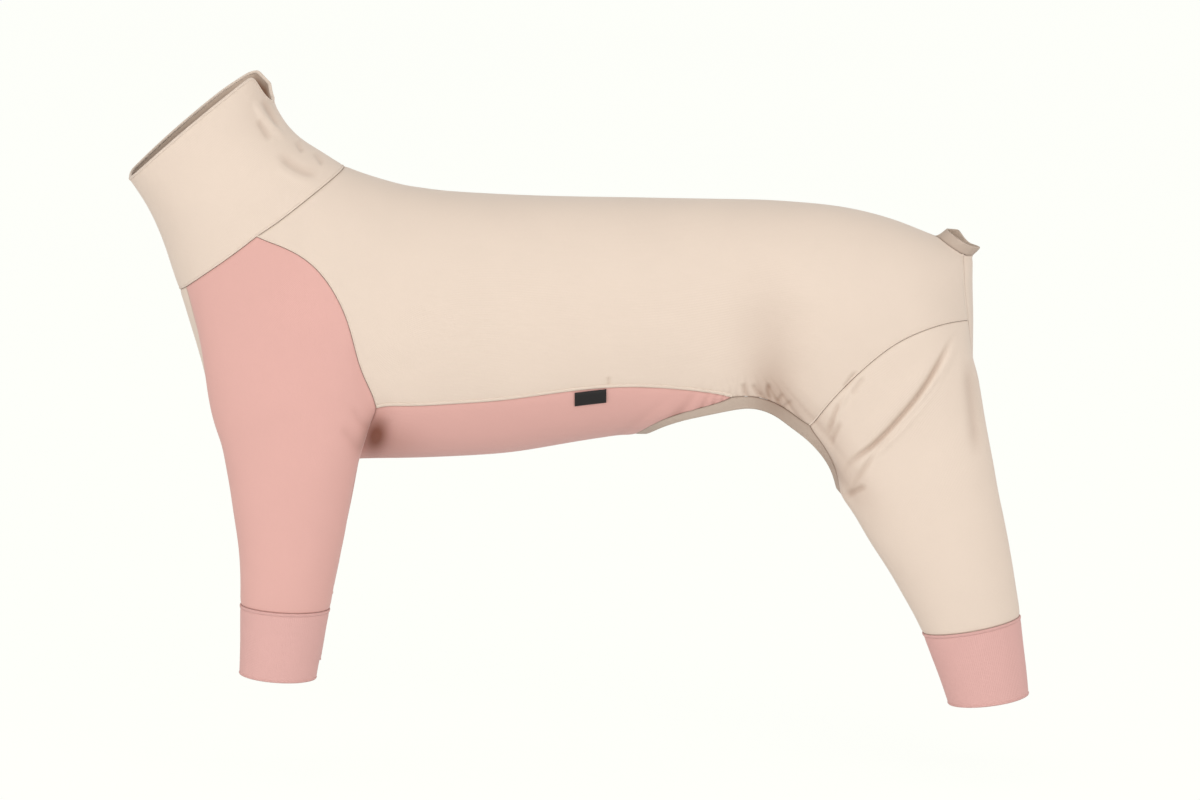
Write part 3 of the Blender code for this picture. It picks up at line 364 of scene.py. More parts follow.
class Pattern:
    """The coat's pattern for one set of sizes: its torso, its seams and the grid of each panel."""

    def __init__(self, sizes):
        self.size = sizes
        self.stations = np.array([row.station for row in TORSO])
        self.tops = np.array([self.side_place(row.top_along, row.top_up) for row in TORSO])
        self.lows = np.array([self.side_place(row.low_along, row.low_up) for row in TORSO])
        self.half_widths = np.array([row.half_width for row in TORSO]) * sizes.chest_width / 2
        self.draw_seams()

    def side_place(self, along, up):
        """Where a share of the back's length and of the chest's depth lies in the side view, in metres."""
        size = self.size
        return np.array([(along - SEAT_SHARE) * size.back_length, up * size.chest_depth + size.cloth])

    def torso_frame(self, station):
        station = np.clip(np.atleast_1d(station), 0, 1)
        squares = np.interp(station, self.stations, self.half_widths ** 2)
        top, low = spline(self.stations, self.tops, station), spline(self.stations, self.lows, station)
        return top, low, np.sqrt(np.maximum(squares, 0))

    def torso(self, spots):
        spots = np.asarray(spots, float).reshape(-1, 2)
        top, low, half_width = self.torso_frame(spots[:, 0])
        return rounded(top, low, half_width, spots[:, 1])

    def seen(self, along, up):
        """The spot on the torso that the side view shows at these shares."""
        place = self.side_place(along, up)
        station = np.linspace(0, 1, 2001)
        top, low, _ = self.torso_frame(station)
        line, offset = low - top, place - top
        side = line[:, 0] * offset[:, 1] - line[:, 1] * offset[:, 0]
        crossings = np.nonzero(side[:-1] * side[1:] <= 0)[0]
        if len(crossings):
            first = crossings[0]
            found = station[first] + (station[1] - station[0]) * side[first] / (side[first] - side[first + 1])
        else:
            found = station[np.argmin(np.abs(side))]
        top, low, _ = self.torso_frame(found)
        run = (low - top)[0]
        height = 1 - 2 * np.clip(np.dot(place - top[0], run) / np.dot(run, run), 0, 1)
        cosine = np.sign(height) * abs(height) ** (FULLNESS / 2)
        return Spot(float(found), math.acos(cosine) / math.pi)

    def seam(self, spots, count):
        """Spots spread evenly, by length on the torso, along a smooth curve through the given spots."""
        spots = np.array(spots, float)
        knots = lengths_along(self.torso(spots))
        fine = spline(knots, spots, np.linspace(0, knots[-1], 400))
        length = lengths_along(self.torso(fine))
        share = np.linspace(0, 1, count + 1)
        return np.stack([np.interp(share * length[-1], length, fine[:, k]) for k in range(2)], axis=1)

    def draw_seams(self):
        seen, seam = self.seen, self.seam
        armpit = seen(*SHOULDER_SEAM[-1])
        groin = seen(*BELLY_SEAM[-1])
        yoke_front = seen(*ARCH_EDGE[-1])
        yoke_rear = seen(*YOKE_SEAM[-1])
        tail_corner = seen(*GUSSET_SEAM[-1])
        self.neck_back = seam([Spot(0, 0), SHOULDER_CORNER], NECK_BACK_COUNT)
        self.neck_side = seam([SHOULDER_CORNER, CHEST_CORNER], NECK_SIDE_COUNT)
        self.neck_front = seam([CHEST_CORNER, Spot(0, 1)], ACROSS_COUNT)
        self.shoulder = seam([SHOULDER_CORNER, *[seen(*p) for p in SHOULDER_SEAM]], SHOULDER_COUNT)
        self.chest = seam([CHEST_CORNER, *CHEST_SEAM, CHEST_END], SHOULDER_COUNT)
        self.chest_low = seam([CHEST_END, CHEST_CENTRE], ACROSS_COUNT)
        self.armhole = seam([CHEST_END, *ARMHOLE, armpit], ARMHOLE_COUNT)
        self.belly = seam([armpit, *[seen(*p) for p in BELLY_SEAM]], BELLY_SEAM_COUNT)
        self.belly_edge = seam([groin, *[seen(*p) for p in BELLY_EDGE], BELLY_END], ACROSS_COUNT)
        self.arch = seam([groin, *[seen(*p) for p in ARCH_EDGE]], ARCH_COUNT)
        self.yoke = seam([yoke_front, *[seen(*p) for p in YOKE_SEAM]], YOKE_COUNT)
        self.gusset = seam([yoke_rear, *[seen(*p) for p in GUSSET_SEAM]], NECK_BACK_COUNT)
        self.gusset_tail = seam([yoke_rear, *[seen(*p) for p in GUSSET_TAIL]], THIGH_COUNT)
        front = np.array(Spot(1 - self.size.tail_hole_length / self.size.back_length, 0))
        turn = np.linspace(0, np.pi / 2, TAIL_SIDE_COUNT + 1)
        self.tail_side = np.stack([front[0] + (tail_corner.station - front[0]) * (1 - np.cos(turn)),
                                   tail_corner.around * np.sin(turn)], axis=1)
        self.tail_rear = seam([tail_corner, Spot(1, 0.02)], GUSSET_COUNT)

    def on_torso(self, grid):
        grid = grid.copy()
        for _ in range(RELAXING_ROUNDS):
            grid[1:-1, 1:-1] = (grid[:-2, 1:-1] + grid[2:, 1:-1] + grid[1:-1, :-2] + grid[1:-1, 2:]) / 4
        return self.torso(grid).reshape(grid.shape[0], grid.shape[1], 3)

    def back(self):
        lower = joined(self.shoulder, self.belly, self.arch, self.yoke)
        count = len(lower) - 1 - TAIL_SIDE_COUNT
        stations = lower[: count + 1, 0] * self.tail_side[0, 0] / lower[count, 0]
        midline = np.stack([np.maximum.accumulate(stations), np.zeros(count + 1)], axis=1)
        return self.on_torso(filled(self.neck_back, self.gusset[::-1], joined(midline, self.tail_side), lower))

    def chest_strip(self):
        middle = self.seam([Spot(0, 1), CHEST_CENTRE], SHOULDER_COUNT)
        return self.on_torso(filled(self.neck_front, self.chest_low, self.chest, middle))

    def belly_piece(self):
        outer = joined(self.armhole, self.belly)
        middle = self.seam([CHEST_CENTRE, BELLY_END], len(outer) - 1)
        return self.on_torso(filled(self.chest_low, self.belly_edge, outer, middle))

    def gusset_piece(self):
        outer = joined(self.gusset[::-1], self.gusset_tail)
        last = self.gusset_tail[-1]
        middle = np.stack([np.ones(len(outer)), np.linspace(self.tail_rear[-1, 1], last[1], len(outer))], axis=1)
        return self.on_torso(filled(self.tail_rear, self.seam([last, Spot(1, last[1])], GUSSET_COUNT), outer, middle))

    def collar(self):
        size = self.size
        around = joined(self.neck_back, self.neck_side, self.neck_front)[:, 1]
        top, low, half_width = self.torso_frame(0.0)
        ups = np.array([row.up for row in COLLAR])
        backs = top[0] + size.collar_height * np.array([(row.back_along, row.back_up) for row in COLLAR])
        fronts = low[0] + size.collar_height * np.array([(row.front_along, row.front_up) for row in COLLAR])
        notch = size.collar_notch / size.collar_height * np.clip(1 - (around / NOTCH_SHARE_AROUND) ** 2, 0, 1) ** 1.5
        bow = size.collar_bow / size.collar_height * np.sin(np.pi * around) ** 2
        rows = []
        for row in range(COLLAR_ROW_COUNT + 1):
            share = row / COLLAR_ROW_COUNT
            at = share * (1 - notch) + share ** 3 * bow
            ease = at * at * (3 - 2 * at)
            width = half_width * (1 - ease) + size.collar_width / 2 * ease
            rows.append(rounded(spline(ups, backs, at), spline(ups, fronts, at), width, around))
        return np.array(rows)

    def front_leg(self):
        size = self.size
        sizes = (size.front_leg_length, size.front_leg_depth, size.front_leg_width, size.front_leg_spacing)
        cuff = (size.front_cuff_length, FRONT_CUFF_BACK, FRONT_CUFF_TILT, size.front_cuff_depth, size.front_cuff_width)
        leg = Leg(self.side_place(*FRONT_LEG_ROOT), FRONT_LEG, sizes, True, FRONT_SWEEP_DEGREES, NECK_SIDE_COUNT,
                  ARMHOLE_COUNT, cuff)
        shoulder, chest, armhole = self.torso(self.shoulder), self.torso(self.chest), self.torso(self.armhole)
        arc = leg.outer_arc(shoulder[-1], chest[-1])
        lower, cuff_rows = leg.grids(np.concatenate([arc, armhole[1:-1]]))
        return hung(self.torso(self.neck_side), arc, lower[1, : len(arc)], shoulder, chest), lower, cuff_rows

    def hind_leg(self):
        size = self.size
        sizes = (size.hind_leg_length, size.hind_leg_depth, size.hind_leg_width, size.hind_leg_spacing)
        cuff = (size.hind_cuff_length, HIND_CUFF_BACK, HIND_CUFF_TILT, size.hind_cuff_depth, size.hind_cuff_width)
        leg = Leg(self.side_place(*HIND_LEG_ROOT), HIND_LEG, sizes, False, HIND_SWEEP_DEGREES, YOKE_COUNT,
                  CROTCH_COUNT, cuff)
        yoke, rear = self.torso(self.yoke), self.torso(self.gusset_tail)
        front_top, front_low = yoke[0], leg.ring(0)[0]
        arc = leg.outer_arc(front_low, rear[-1])
        t = np.linspace(0, 1, THIGH_COUNT + 1)[:, None]
        bow = np.array([0.10, 0, 0.02]) * np.linalg.norm(front_low - front_top)
        front = front_top * (1 - t) + front_low * t + bow * 4 * t * (1 - t)
        t = np.linspace(0, 1, CROTCH_COUNT + 1)[:, None]
        inner = rear[-1] * (1 - t) + front_low * t
        inner[:, 1] = rear[-1, 1] + (front_low[1] - rear[-1, 1]) * t[:, 0] ** 1.8
        inner[:, 2] -= 0.10 * size.hind_leg_depth * (4 * t * (1 - t))[:, 0]
        lower, cuff_rows = leg.grids(np.concatenate([arc, inner[1:-1]]))
        return hung(yoke, arc, lower[1, : len(arc)], front, rear), lower, cuff_rows


class Skin:
    """The coat as one surface of welded faces, each with the name of its panel and its place on the cloth."""

    def __init__(self):
        self.points, self.found, self.faces, self.names, self.cloth = [], {}, [], [], []

    def point(self, place):
        key = tuple(np.round(np.asarray(place) * 1e6).astype(int))
        if key not in self.found:
            self.found[key] = len(self.points)
            self.points.append(np.array(place, float))
        return self.found[key]

    def add_grid(self, grid, name, closed=False, turned=False, start=0.0):
        """Adds a grid of the dog's left side and its mirror image on the right."""
        high, wide = grid.shape[:2]
        ring = np.concatenate([grid, grid[:, :1]], axis=1) if closed else grid
        across = np.concatenate([[0], np.cumsum(np.linalg.norm(np.diff(ring, axis=1), axis=2).mean(axis=0))])
        along = start + np.concatenate([[0], np.cumsum(np.linalg.norm(np.diff(grid, axis=0), axis=2).mean(axis=1))])
        for mirror in (1, -1):
            side = "left" if mirror == 1 else "right"
            index = [[self.point(p * [1, mirror, 1]) for p in row] for row in grid]
            for r in range(high - 1):
                for k in range(wide if closed else wide - 1):
                    n = (k + 1) % wide
                    corners = [index[r][k], index[r][n], index[r + 1][n], index[r + 1][k]]
                    spots = [(across[k], along[r]), (across[k + 1], along[r]), (across[k + 1], along[r + 1]),
                             (across[k], along[r + 1])]
                    if (mirror == 1) != turned:
                        corners.reverse()
                        spots.reverse()
                    kept = [i for i in range(4) if corners[i] != corners[i - 1]]
                    if len(kept) > 2:
                        self.faces.append([corners[i] for i in kept])
                        self.cloth.append([spots[i] for i in kept])
                        self.names.append(name.replace("#", side))
        return along[-1]

    def arrays(self):
        self.points = np.array(self.points)

    def edges(self):
        found = {}
        for number, face in enumerate(self.faces):
            for i, vertex in enumerate(face):
                after = face[(i + 1) % len(face)]
                found.setdefault(frozenset((vertex, after)), []).append((number, vertex, after))
        return found

    def normals(self):
        total = np.zeros_like(self.points)
        for face in self.faces:
            corners = self.points[face]
            cross = np.cross(corners[1] - corners[0], corners[2] - corners[0])
            if len(face) == 4:
                cross += np.cross(corners[2] - corners[0], corners[3] - corners[0])
            cross = unit(cross)
            for i, vertex in enumerate(face):
                before = self.points[face[i - 1]] - self.points[vertex]
                after = self.points[face[(i + 1) % len(face)]] - self.points[vertex]
                norm = np.linalg.norm(before) * np.linalg.norm(after)
                total[vertex] += cross * math.acos(np.clip(np.dot(before, after) / max(norm, 1e-12), -1, 1))
        return unit(total)

    def smooth(self, rounds):
        """Evens the surface without shrinking it. Open edges stay where they are."""
        edges = self.edges()
        fixed = {v for edge, users in edges.items() if len(users) == 1 for v in edge}
        near = [[] for _ in self.points]
        for edge in edges:
            a, b = tuple(edge)
            near[a].append(b)
            near[b].append(a)
        free = np.array([v for v in range(len(self.points)) if v not in fixed and near[v]])
        for _ in range(rounds):
            for step in (0.5, -0.52):
                means = np.array([self.points[near[v]].mean(axis=0) for v in free])
                self.points[free] += step * (means - self.points[free])

    def extend(self, inside, height, lean, name):
        """Adds a strip along the open edges that inside() accepts, carried on from the cloth and leaning outwards."""
        normals = self.normals()
        open_edges = [users[0] for users in self.edges().values() if len(users) == 1]
        chosen = [(f, a, b) for f, a, b in open_edges if inside(self.points[a]) and inside(self.points[b])]
        ways = {}
        for _, a, b in chosen:
            along = self.points[b] - self.points[a]
            for vertex in (a, b):
                ways[vertex] = ways.get(vertex, 0) + unit(np.cross(along, normals[vertex]))
        moved, run = {}, {}
        for vertex, way in ways.items():
            place = self.points[vertex] + height * (unit(way) * math.cos(lean) + normals[vertex] * math.sin(lean))
            moved[vertex] = len(self.points)
            self.points = np.vstack([self.points, place])
        for _, a, b in chosen:
            length = np.linalg.norm(self.points[b] - self.points[a])
            run[a] = run.get(a, 0.0)
            self.faces.append([b, a, moved[a], moved[b]])
            self.cloth.append([(length, 0), (0, 0), (0, height), (length, height)])
            self.names.append(name)


def coat_skin(pattern):
    skin = Skin()
    skin.add_grid(pattern.back(), "back_panel", turned=True)
    skin.add_grid(pattern.chest_strip(), "chest_panel", turned=True)
    skin.add_grid(pattern.belly_piece(), "belly_panel", turned=True)
    skin.add_grid(pattern.gusset_piece(), "rump_gusset")
    skin.add_grid(pattern.collar(), "collar")
    for leg, grids in (("front", pattern.front_leg()), ("hind", pattern.hind_leg())):
        upper, lower, cuff = grids
        turned = leg == "front"
        end = skin.add_grid(upper, f"{leg}_leg_#", turned=turned)
        skin.add_grid(lower, f"{leg}_leg_#", closed=True, turned=turned, start=end)
        skin.add_grid(cuff, f"{leg}_cuff_#", closed=True, turned=turned)
    skin.arrays()
    skin.smooth(3)
    low, high = pattern.side_place(0, CUFF_BELOW_UP)[1], pattern.side_place(0, TAIL_ABOVE_UP)[1]
    ribs = pattern.side_place(BEHIND_RIBS_ALONG, 0)[0]
    skin.extend(lambda p: p[0] > ribs and low < p[2] < high, pattern.size.binding_width, 0.0, "groin_binding")
    skin.extend(lambda p: p[0] > ribs and p[2] > high, pattern.size.tail_rim_height, math.radians(TAIL_RIM_LEAN_DEGREES),
                "tail_rim")
    return skin


def filled_mesh(name, points, corners, starts):
    """A mesh from its points, the point of each face corner, and the corner that each face starts at."""
    mesh = bpy.data.meshes.new(name)
    mesh.vertices.add(len(points))
    mesh.vertices.foreach_set("co", np.asarray(points, np.float32).ravel())
    mesh.loops.add(len(corners))
    mesh.loops.foreach_set("vertex_index", np.asarray(corners, np.int32))
    mesh.polygons.add(len(starts) - 1)
    mesh.polygons.foreach_set("loop_start", np.asarray(starts[:-1], np.int32))
    mesh.update(calc_edges=True)
    return mesh


def surface_normals(points, corners, starts):
    mesh = filled_mesh("normals", points, corners, starts)
    normals = np.empty(len(points) * 3)
    mesh.vertex_normals.foreach_get("vector", normals)
    bpy.data.meshes.remove(mesh)
    return normals.reshape(-1, 3)


def next_corners(starts):
    """For each face corner, the number of the next one round its face."""
    after = np.arange(starts[-1]) + 1
    after[starts[1:] - 1] = starts[:-1]
    return after


def faces_of_corners(starts):
    return np.repeat(np.arange(len(starts) - 1), np.diff(starts))


def smoothed(share):
    share = np.clip(share, 0, 1)
    return share * share * (3 - 2 * share)


def fold_line(fold):
    knots = np.array(fold.points) / 1000
    length = lengths_along(knots)
    return spline(length, knots, np.linspace(0, length[-1], 25))


FOLD_LINES = [(fold, fold_line(fold)) for fold in FOLDS]


def outer_side(points, normals):
    """How far each point lies on an outer side of the coat, where the folds are."""
    turned = np.clip((np.abs(normals[:, 1]) - 0.08) * 3, 0, 1)
    return np.where((normals[:, 1] * points[:, 1] > 0) & (np.abs(points[:, 1]) > 0.004), turned, 0)


def near_fold(line, flat, able, reach):
    """The points within reach of a fold's line, how far they are from it and how far along it."""
    low, high = line.min(axis=0) - reach, line.max(axis=0) + reach
    near = np.nonzero(np.all((flat > low) & (flat < high), axis=1) & able)[0]
    a, run = line[:-1][None], np.diff(line, axis=0)[None]
    spot = flat[near][:, None]
    t = np.clip(((spot - a) * run).sum(axis=2) / (run ** 2).sum(axis=2), 0, 1)
    gap = np.linalg.norm(spot - a - run * t[..., None], axis=2)
    best = gap.argmin(axis=1)
    rows = np.arange(len(near))
    return near, gap[rows, best], (best + t[rows, best]) / (len(line) - 1)


# How finely the cloth is divided: how many half widths and metres from a fold, and how far from a seam, an open edge
# and the groin's edge, a face is divided once more.
Fineness = namedtuple("Fineness", "widths beyond seam edge groin")
FIRST_PASS = Fineness(3.0, 0.005, 0.0065, 0.009, 0.020)
SECOND_PASS = Fineness(1.5, 0.0008, 0.0018, 0.0022, 0.007)

# How far the collar's far rim flares, how high the cloth waves, gathers and dips at its seams, and how far each of
# these reaches from its edge, and how far the painted shade reaches from a seam and in from an opening, all in metres.
RIM_FLARE, RIM_FLARE_REACH = 0.0030, 0.026
WAVE_HEIGHT = 0.00035
GATHER_HEIGHT, GATHER_REACH = 0.0008, 0.034
SEAM_DIP, SEAM_DIP_REACH = 0.0007, 0.006
SEAM_SHADE_REACH = 0.0014
INSIDE_SHADE_REACH = 0.012


class FineCoat:
    """The coat's skin made finer, with its folds, and the parts of it that each panel is cut from."""

    def __init__(self, sizes, quick):
        self.pattern = Pattern(sizes)
        skin = coat_skin(self.pattern)
        self.names = sorted(set(skin.names))
        self.subdivide(skin, 2)
        self.divide_near_details(FIRST_PASS)
        if not quick:
            self.divide_near_details(SECOND_PASS)
        self.find_seams()
        self.pull()
        self.press_folds()

    def subdivide(self, skin, levels):
        mesh = bpy.data.meshes.new("skin")
        mesh.from_pydata(skin.points.tolist(), [], skin.faces)
        panel = mesh.attributes.new("panel", "INT", "FACE")
        panel.data.foreach_set("value", [self.names.index(name) for name in skin.names])
        cloth = mesh.uv_layers.new(name="cloth")
        cloth.data.foreach_set("uv", np.array([spot for face in skin.cloth for spot in face]).ravel())
        shape = bpy.data.objects.new("skin", mesh)
        bpy.context.scene.collection.objects.link(shape)
        finer = shape.modifiers.new("finer", "SUBSURF")
        finer.levels = finer.render_levels = levels
        finer.boundary_smooth = "PRESERVE_CORNERS"
        fine = shape.evaluated_get(bpy.context.evaluated_depsgraph_get()).to_mesh()
        count = len(fine.polygons)
        self.points = np.empty(len(fine.vertices) * 3)
        fine.vertices.foreach_get("co", self.points)
        self.points = self.points.reshape(-1, 3)
        self.corners = np.empty(count * 4, dtype=int)
        fine.polygons.foreach_get("vertices", self.corners)
        self.starts = np.arange(count + 1) * 4
        self.panel = np.empty(count, dtype=int)
        fine.attributes["panel"].data.foreach_get("value", self.panel)
        self.spots = np.empty(count * 8)
        fine.uv_layers["cloth"].data.foreach_get("uv", self.spots)
        self.spots = self.spots.reshape(-1, 2)
        bpy.data.objects.remove(shape)
        bpy.data.meshes.remove(mesh)

    def divide_near_details(self, fineness):
        self.find_seams()
        normals = surface_normals(self.points, self.corners, self.starts)
        near = np.zeros(len(self.points), bool)
        able, flat = outer_side(self.points, normals) > 0, self.points[:, [0, 2]]
        for fold, line in FOLD_LINES:
            reach = fineness.widths * fold.width / 1000 + fineness.beyond
            if fold.width < 8 or fineness is FIRST_PASS:
                found, gap, _ = near_fold(line, flat, able, reach)
                near[found[gap < reach]] = True
        groin = self.open_panels == self.names.index("groin_binding")
        near |= self.near_edges(self.seam_edges, fineness.seam) < fineness.seam
        near |= self.near_edges(self.open_edges, fineness.edge) < fineness.edge
        near |= self.near_edges(self.open_edges[groin], fineness.groin) < fineness.groin
        face_of = faces_of_corners(self.starts)
        marked = np.zeros(len(self.panel), bool)
        marked[face_of[near[self.corners]]] = True
        # A face that already has a neighbour's extra point on its edge stays as it is, and so do the faces beside it.
        plain = np.diff(self.starts) == 4
        odd = np.zeros(len(self.points), bool)
        odd[self.corners[~plain[face_of]]] = True
        marked[face_of[odd[self.corners]]] = False
        self.divide(marked & plain, normals)

    def divide(self, marked, normals):
        """Divides each marked face in four. The faces beside them get the new points on their edges."""
        after, face_of = next_corners(self.starts), faces_of_corners(self.starts)
        a, b, count = self.corners, self.corners[after], len(self.points)
        key = np.minimum(a, b) * count + np.maximum(a, b)
        split = np.unique(key[marked[face_of]])
        low, high = split // count, split % count
        run = self.points[high] - self.points[low]
        bulge = ((run * normals[low]).sum(axis=1, keepdims=True) * normals[low]
                 - (run * normals[high]).sum(axis=1, keepdims=True) * normals[high])
        middles = (self.points[low] + self.points[high]) / 2 - bulge / 8
        number = np.minimum(np.searchsorted(split, key), len(split) - 1)
        is_split = split[number] == key
        middle, middle_spot = count + number, (self.spots + self.spots[after]) / 2
        first = self.starts[:-1][marked]
        c, m = [a[first + k] for k in range(4)], [middle[first + k] for k in range(4)]
        s, n = [self.spots[first + k] for k in range(4)], [middle_spot[first + k] for k in range(4)]
        centre = count + len(split) + np.arange(len(first))
        centres = (sum(middles[m[k] - count] for k in range(4)) / 2 - sum(self.points[c[k]] for k in range(4)) / 4)
        heart = sum(s) / 4
        quads = np.concatenate([np.stack(ring, axis=1) for ring in (
            (c[0], m[0], centre, m[3]), (m[0], c[1], m[1], centre), (centre, m[1], c[2], m[2]),
            (m[3], centre, m[2], c[3]))])
        quad_spots = np.concatenate([np.stack(ring, axis=1) for ring in (
            (s[0], n[0], heart, n[3]), (n[0], s[1], n[1], heart), (heart, n[1], s[2], n[2]),
            (n[3], heart, n[2], s[3]))])
        kept = ~marked[face_of]
        flag = is_split[kept]
        at = np.nonzero(flag)[0] + 1
        corners = np.insert(a[kept], at, middle[kept][flag])
        spots = np.insert(self.spots[kept], at, middle_spot[kept][flag], axis=0)
        counts = np.diff(self.starts)[~marked]
        extra = np.bincount(face_of[kept][flag], minlength=len(marked))[~marked]
        self.corners = np.concatenate([corners, quads.ravel()])
        self.spots = np.concatenate([spots, quad_spots.reshape(-1, 2)])
        self.starts = np.concatenate([[0], np.cumsum(np.concatenate([counts + extra, np.full(len(quads), 4)]))])
        self.panel = np.concatenate([self.panel[~marked], np.tile(self.panel[marked], 4)])
        self.points = np.vstack([self.points, middles, centres])

    def find_seams(self):
        pairs = np.stack([self.corners, self.corners[next_corners(self.starts)]], axis=1)
        owner = faces_of_corners(self.starts)
        key = np.sort(pairs, axis=1)
        order = np.lexsort((key[:, 1], key[:, 0]))
        key, owner, pairs = key[order], owner[order], pairs[order]
        first = np.nonzero(np.all(key[1:] == key[:-1], axis=1))[0]
        a, b = self.panel[owner[first]], self.panel[owner[first + 1]]
        seam = first[a != b]
        self.seam_edges = key[seam]
        self.seam_panels = np.sort(np.stack([self.panel[owner[seam]], self.panel[owner[seam + 1]]], axis=1), axis=1)
        alone = np.ones(len(key), bool)
        alone[first] = alone[first + 1] = False
        self.open_edges = pairs[alone]
        self.open_panels = self.panel[owner[alone]]

    def near_edges(self, edges, reach):
        """For each point within reach of the edges: its distance from them, and otherwise the reach."""
        ends = self.points[edges]
        samples = np.concatenate([ends[:, 0], ends[:, 1], ends.mean(axis=1)])
        tree = KDTree(len(samples))
        for i, place in enumerate(samples):
            tree.insert(place, i)
        tree.balance()
        low, high = samples.min(axis=0) - reach, samples.max(axis=0) + reach
        gaps = np.full(len(self.points), reach)
        for i in np.nonzero(np.all((self.points > low) & (self.points < high), axis=1))[0]:
            gaps[i] = min(reach, tree.find(self.points[i])[2])
        return gaps

    def edges_of(self, name):
        return self.open_edges[self.open_panels == self.names.index(name)]

    def pull(self):
        """Draws single places out of shape, and flares the far half of the collar's rim."""
        x, y, z = self.points.T
        side = np.where(y > 0, 1.0, -1.0)
        move = np.zeros_like(self.points)
        for spot in PULLS:
            gap = np.hypot(x * 1000 - spot.x, z * 1000 - spot.z)
            share = np.clip(1 - gap / spot.reach, 0, 1) ** 1.6 * smoothed(np.abs(y) / 0.006)
            share = share * (1 if spot.side == 0 else side == spot.side)
            move += share[:, None] * np.stack([np.full(len(x), spot.along), spot.out * side, np.full(len(x), spot.up)],
                                              axis=1) / 1000
        rim = self.near_edges(self.edges_of("collar"), RIM_FLARE_REACH)
        flare = RIM_FLARE * (1 - rim / RIM_FLARE_REACH) ** 2 * smoothed(y / 0.02)
        move += flare[:, None] * np.array([-0.63, 0.25, 0.77])
        self.points = self.points + move

    def press_folds(self):
        normals = surface_normals(self.points, self.corners, self.starts)
        x, y, z = self.points.T
        outward = outer_side(self.points, normals)
        depths, self.shade = np.zeros(len(x)), np.zeros(len(x))
        for fold, line in FOLD_LINES:
            near, gap, share = near_fold(line, self.points[:, [0, 2]], outward > 0, 3 * fold.width / 1000)
            fade = smoothed(share * 3.5) * smoothed((1 - share) * 3.5)
            form = fade * np.exp(-((gap / (fold.width / 1000)) ** 2))
            depths[near] += fold.depth / 1000 * form
            # Narrow folds also get painted shade along their valleys, as strong as they are deep.
            if 0 < fold.width < 8:
                self.shade[near] += 0.13 * fold.depth * form * outward[near]
        waves = WAVE_HEIGHT * np.sin(x * 61 + 1.3 * np.sin(z * 43)) * np.sin(z * 57 + y * 31)
        seams = self.near_edges(self.seam_edges, SEAM_DIP_REACH)
        seam_dip = SEAM_DIP * np.clip(1 - seams / SEAM_DIP_REACH, 0, 1) ** 2
        groin = self.near_edges(self.edges_of("groin_binding"), GATHER_REACH)
        around = np.arctan2(z + 0.10, x - 0.11)
        beat = np.sin(around * 46 + 3 * np.sin(around * 7))
        strip = np.zeros(len(x), bool)
        of_binding = self.panel == self.names.index("groin_binding")
        strip[self.corners[of_binding[faces_of_corners(self.starts)]]] = True
        pucker = beat * np.clip(1 - groin / GATHER_REACH, 0, 1) ** 1.5 * ~strip
        # Painted shade in the valleys of the gathers by the groin.
        self.shade += np.clip(-pucker, 0, 1) * 0.35
        # Painted shade from the dabs, on the outer sides only.
        for shade_dab in SHADE_DABS:
            turn = math.radians(shade_dab.turn)
            along, up = x * 1000 - shade_dab.x, z * 1000 - shade_dab.z
            u = (along * math.cos(turn) + up * math.sin(turn)) / shade_dab.wide
            v = (up * math.cos(turn) - along * math.sin(turn)) / shade_dab.high
            self.shade += shade_dab.strength * np.exp(-u * u - v * v) * np.minimum(outward * 2, 1)
        # Painted shade along the seams, where the panels meet.
        self.shade += 0.30 * np.clip(1 - seams / SEAM_SHADE_REACH, 0, 1)
        self.shade = np.clip(self.shade, -0.3, 1)
        self.points = self.points + normals * (waves + GATHER_HEIGHT * pucker - seam_dip - depths * outward)[:, None]
        self.normals = surface_normals(self.points, self.corners, self.starts)
        # Painted shade on the inner face: darker the farther a point lies from an open edge, up to the reach.
        opening = self.open_panels != self.names.index("groin_binding")
        gap = self.near_edges(self.open_edges[opening], INSIDE_SHADE_REACH)
        self.deep = smoothed(gap / INSIDE_SHADE_REACH)

    def seam_line(self, *names):
        """The ordered points of the seam between two panels, as rows of vertex numbers."""
        wanted = sorted(self.names.index(name) for name in names)
        return chains(self.seam_edges[np.all(self.seam_panels == wanted, axis=1)])

    def open_line(self, name):
        return chains(self.edges_of(name))

    def tree(self, name):
        """A search tree of one panel's faces."""
        chosen = np.nonzero(self.panel == self.names.index(name))[0]
        faces = [self.corners[self.starts[f]:self.starts[f + 1]].tolist() for f in chosen]
        return BVHTree.FromPolygons(self.points.tolist(), faces)

    def panel_beside(self, name, vertex):
        """The mean place of a panel's faces that meet at a vertex."""
        face_of = faces_of_corners(self.starts)
        faces = face_of[self.corners == vertex]
        faces = faces[self.panel[faces] == self.names.index(name)]
        return self.points[self.corners[np.isin(face_of, faces)]].mean(axis=0)


def chains(edges):
    """Edges joined end to end into runs of vertices. A closed run ends where it starts."""
    links = {}
    for a, b in edges:
        links.setdefault(int(a), []).append(int(b))
        links.setdefault(int(b), []).append(int(a))
    left = {frozenset((int(a), int(b))) for a, b in edges}
    runs = []
    starts = [v for v, near in links.items() if len(near) != 2] + list(links)
    for start in starts:
        while True:
            options = [v for v in links[start] if frozenset((start, v)) in left]
            if not options:
                break
            run = [start, options[0]]
            left.discard(frozenset(run))
            while len(links[run[-1]]) == 2:
                ahead = [v for v in links[run[-1]] if frozenset((run[-1], v)) in left]
                if not ahead:
                    break
                left.discard(frozenset((run[-1], ahead[0])))
                run.append(ahead[0])
            runs.append(run)
    return runs


Sizes = namedtuple("Sizes", "back_length chest_depth chest_width collar_height collar_width collar_notch collar_bow "
                   "front_leg_length front_leg_depth front_leg_width front_leg_spacing front_cuff_length "
                   "front_cuff_depth front_cuff_width hind_leg_length hind_leg_depth hind_leg_width hind_leg_spacing "
                   "hind_cuff_length hind_cuff_depth hind_cuff_width tail_hole_length tail_rim_height binding_width "
                   "binding_thickness cloth seam_gap label_width label_height")


def length_property(name, default, description):
    return bpy.props.FloatProperty(name=name, description=description, default=default, min=0, unit="LENGTH",
                                   precision=4)


